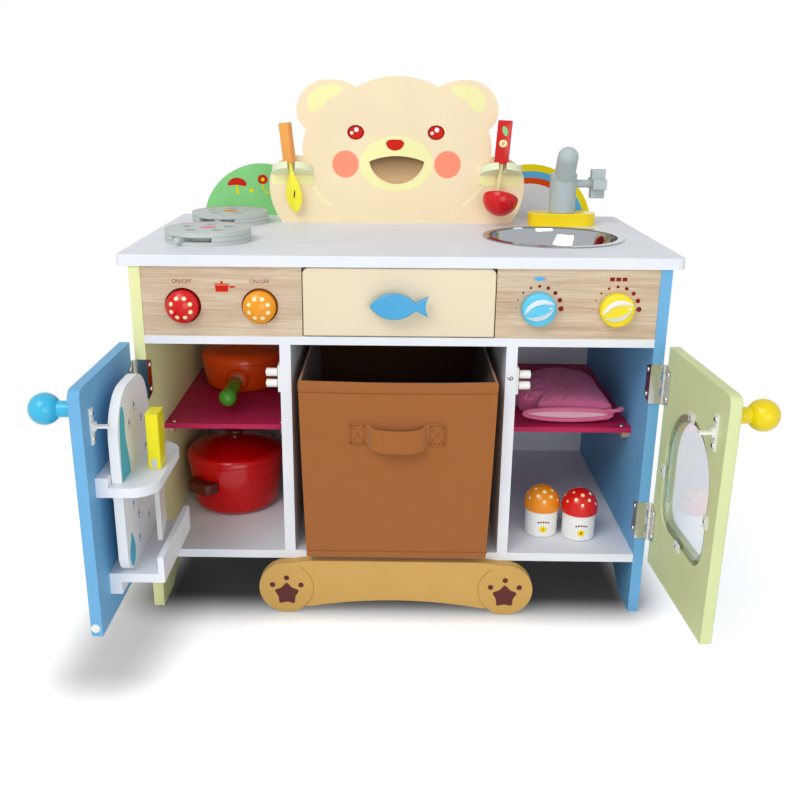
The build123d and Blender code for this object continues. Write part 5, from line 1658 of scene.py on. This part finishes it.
class PLAYKITCHEN_OT_screws(KitchenOperator, Operator):
    """Screws of the hinges, strikes, catches, tabs and shelves"""
    bl_idname = "playkitchen.screws"
    bl_label = "Screws"

    def make(self, paints, sizes):
        head = sizes.screw
        hinge_z, strike_z = (105, 133, 268.5, 296.5), (270, 296)
        hinge_u, strike_u = 9.5, 148
        window_tabs = ((24, 192), (150, 192), (87, 132), (87, 276))
        inward = right_door_matrix().to_3x3() @ -X
        cabinet, left, right = [], [], []
        for z in hinge_z:
            cabinet += [(at(side * 273.8, 10, z), -side * X, head) for side in (-1, 1)]
            left.append((left_door_point(hinge_u, 1.2, z), X, head))
            right.append((right_door_point(hinge_u, 1.2, z), inward, head))
        for z in strike_z:
            left.append((left_door_point(strike_u, 2, z), X, head))
            right.append((right_door_point(strike_u, 2, z), inward, head))
        for u, z in window_tabs:
            right.append((right_door_point(u, 1.6, z), inward, head * 0.8))
        cabinet += [(at(x, 66, 209.5), Z, head) for x in (-265, -137, 137, 265)]
        cap = [(0, -0.5), (4.6, -0.5), (4.6, 0.5), (4.0, 1.3), (2.2, 1.8), (0, 1.9)]
        turned("left_door_cap", cap, front_plane(-296.5, -175, 79), painted("white_plastic", "plastic"),
               "left_door")
        for body, spots in (("cabinet", cabinet), ("left_door", left), ("right_door", right)):
            repeated(body + "_screws", screw_shape(), spots, plated_steel(), body)


OPERATORS = (PLAYKITCHEN_OT_boards, PLAYKITCHEN_OT_bear, PLAYKITCHEN_OT_splashes,
             PLAYKITCHEN_OT_plinth, PLAYKITCHEN_OT_hobs, PLAYKITCHEN_OT_controls, PLAYKITCHEN_OT_bin,
             PLAYKITCHEN_OT_mitt, PLAYKITCHEN_OT_cookware, PLAYKITCHEN_OT_screws, PLAYKITCHEN_OT_stage)
SETTINGS = (("kitchen_paints", KitchenPaints), ("kitchen_sizes", KitchenSizes),
            ("kitchen_light", KitchenLight))


class PLAYKITCHEN_PT_panel(Panel):
    """Lists the steps that dress the play kitchen"""
    bl_idname = "PLAYKITCHEN_PT_panel"
    bl_label = "Play kitchen"
    bl_space_type = "VIEW_3D"
    bl_region_type = "UI"
    bl_category = "Play kitchen"

    def draw(self, context):
        for operator in OPERATORS:
            self.layout.operator(operator.bl_idname)
        for name, _ in SETTINGS:
            settings = getattr(context.scene, name)
            box = self.layout.box()
            for prop in settings.bl_rna.properties:
                if prop.identifier not in {"rna_type", "name"}:
                    box.prop(settings, prop.identifier)


def register():
    for name, group in SETTINGS:
        bpy.utils.register_class(group)
        setattr(bpy.types.Scene, name, PointerProperty(type=group))
    for operator in OPERATORS:
        bpy.utils.register_class(operator)
    bpy.utils.register_class(PLAYKITCHEN_PT_panel)


def unregister():
    bpy.utils.unregister_class(PLAYKITCHEN_PT_panel)
    for operator in reversed(OPERATORS):
        bpy.utils.unregister_class(operator)
    for name, group in reversed(SETTINGS):
        delattr(bpy.types.Scene, name)
        bpy.utils.unregister_class(group)


def main():
    register()
    for operator in OPERATORS:
        group, name = operator.bl_idname.split(".")
        getattr(getattr(bpy.ops, group), name)()


if __name__ == "__main__":
    main()
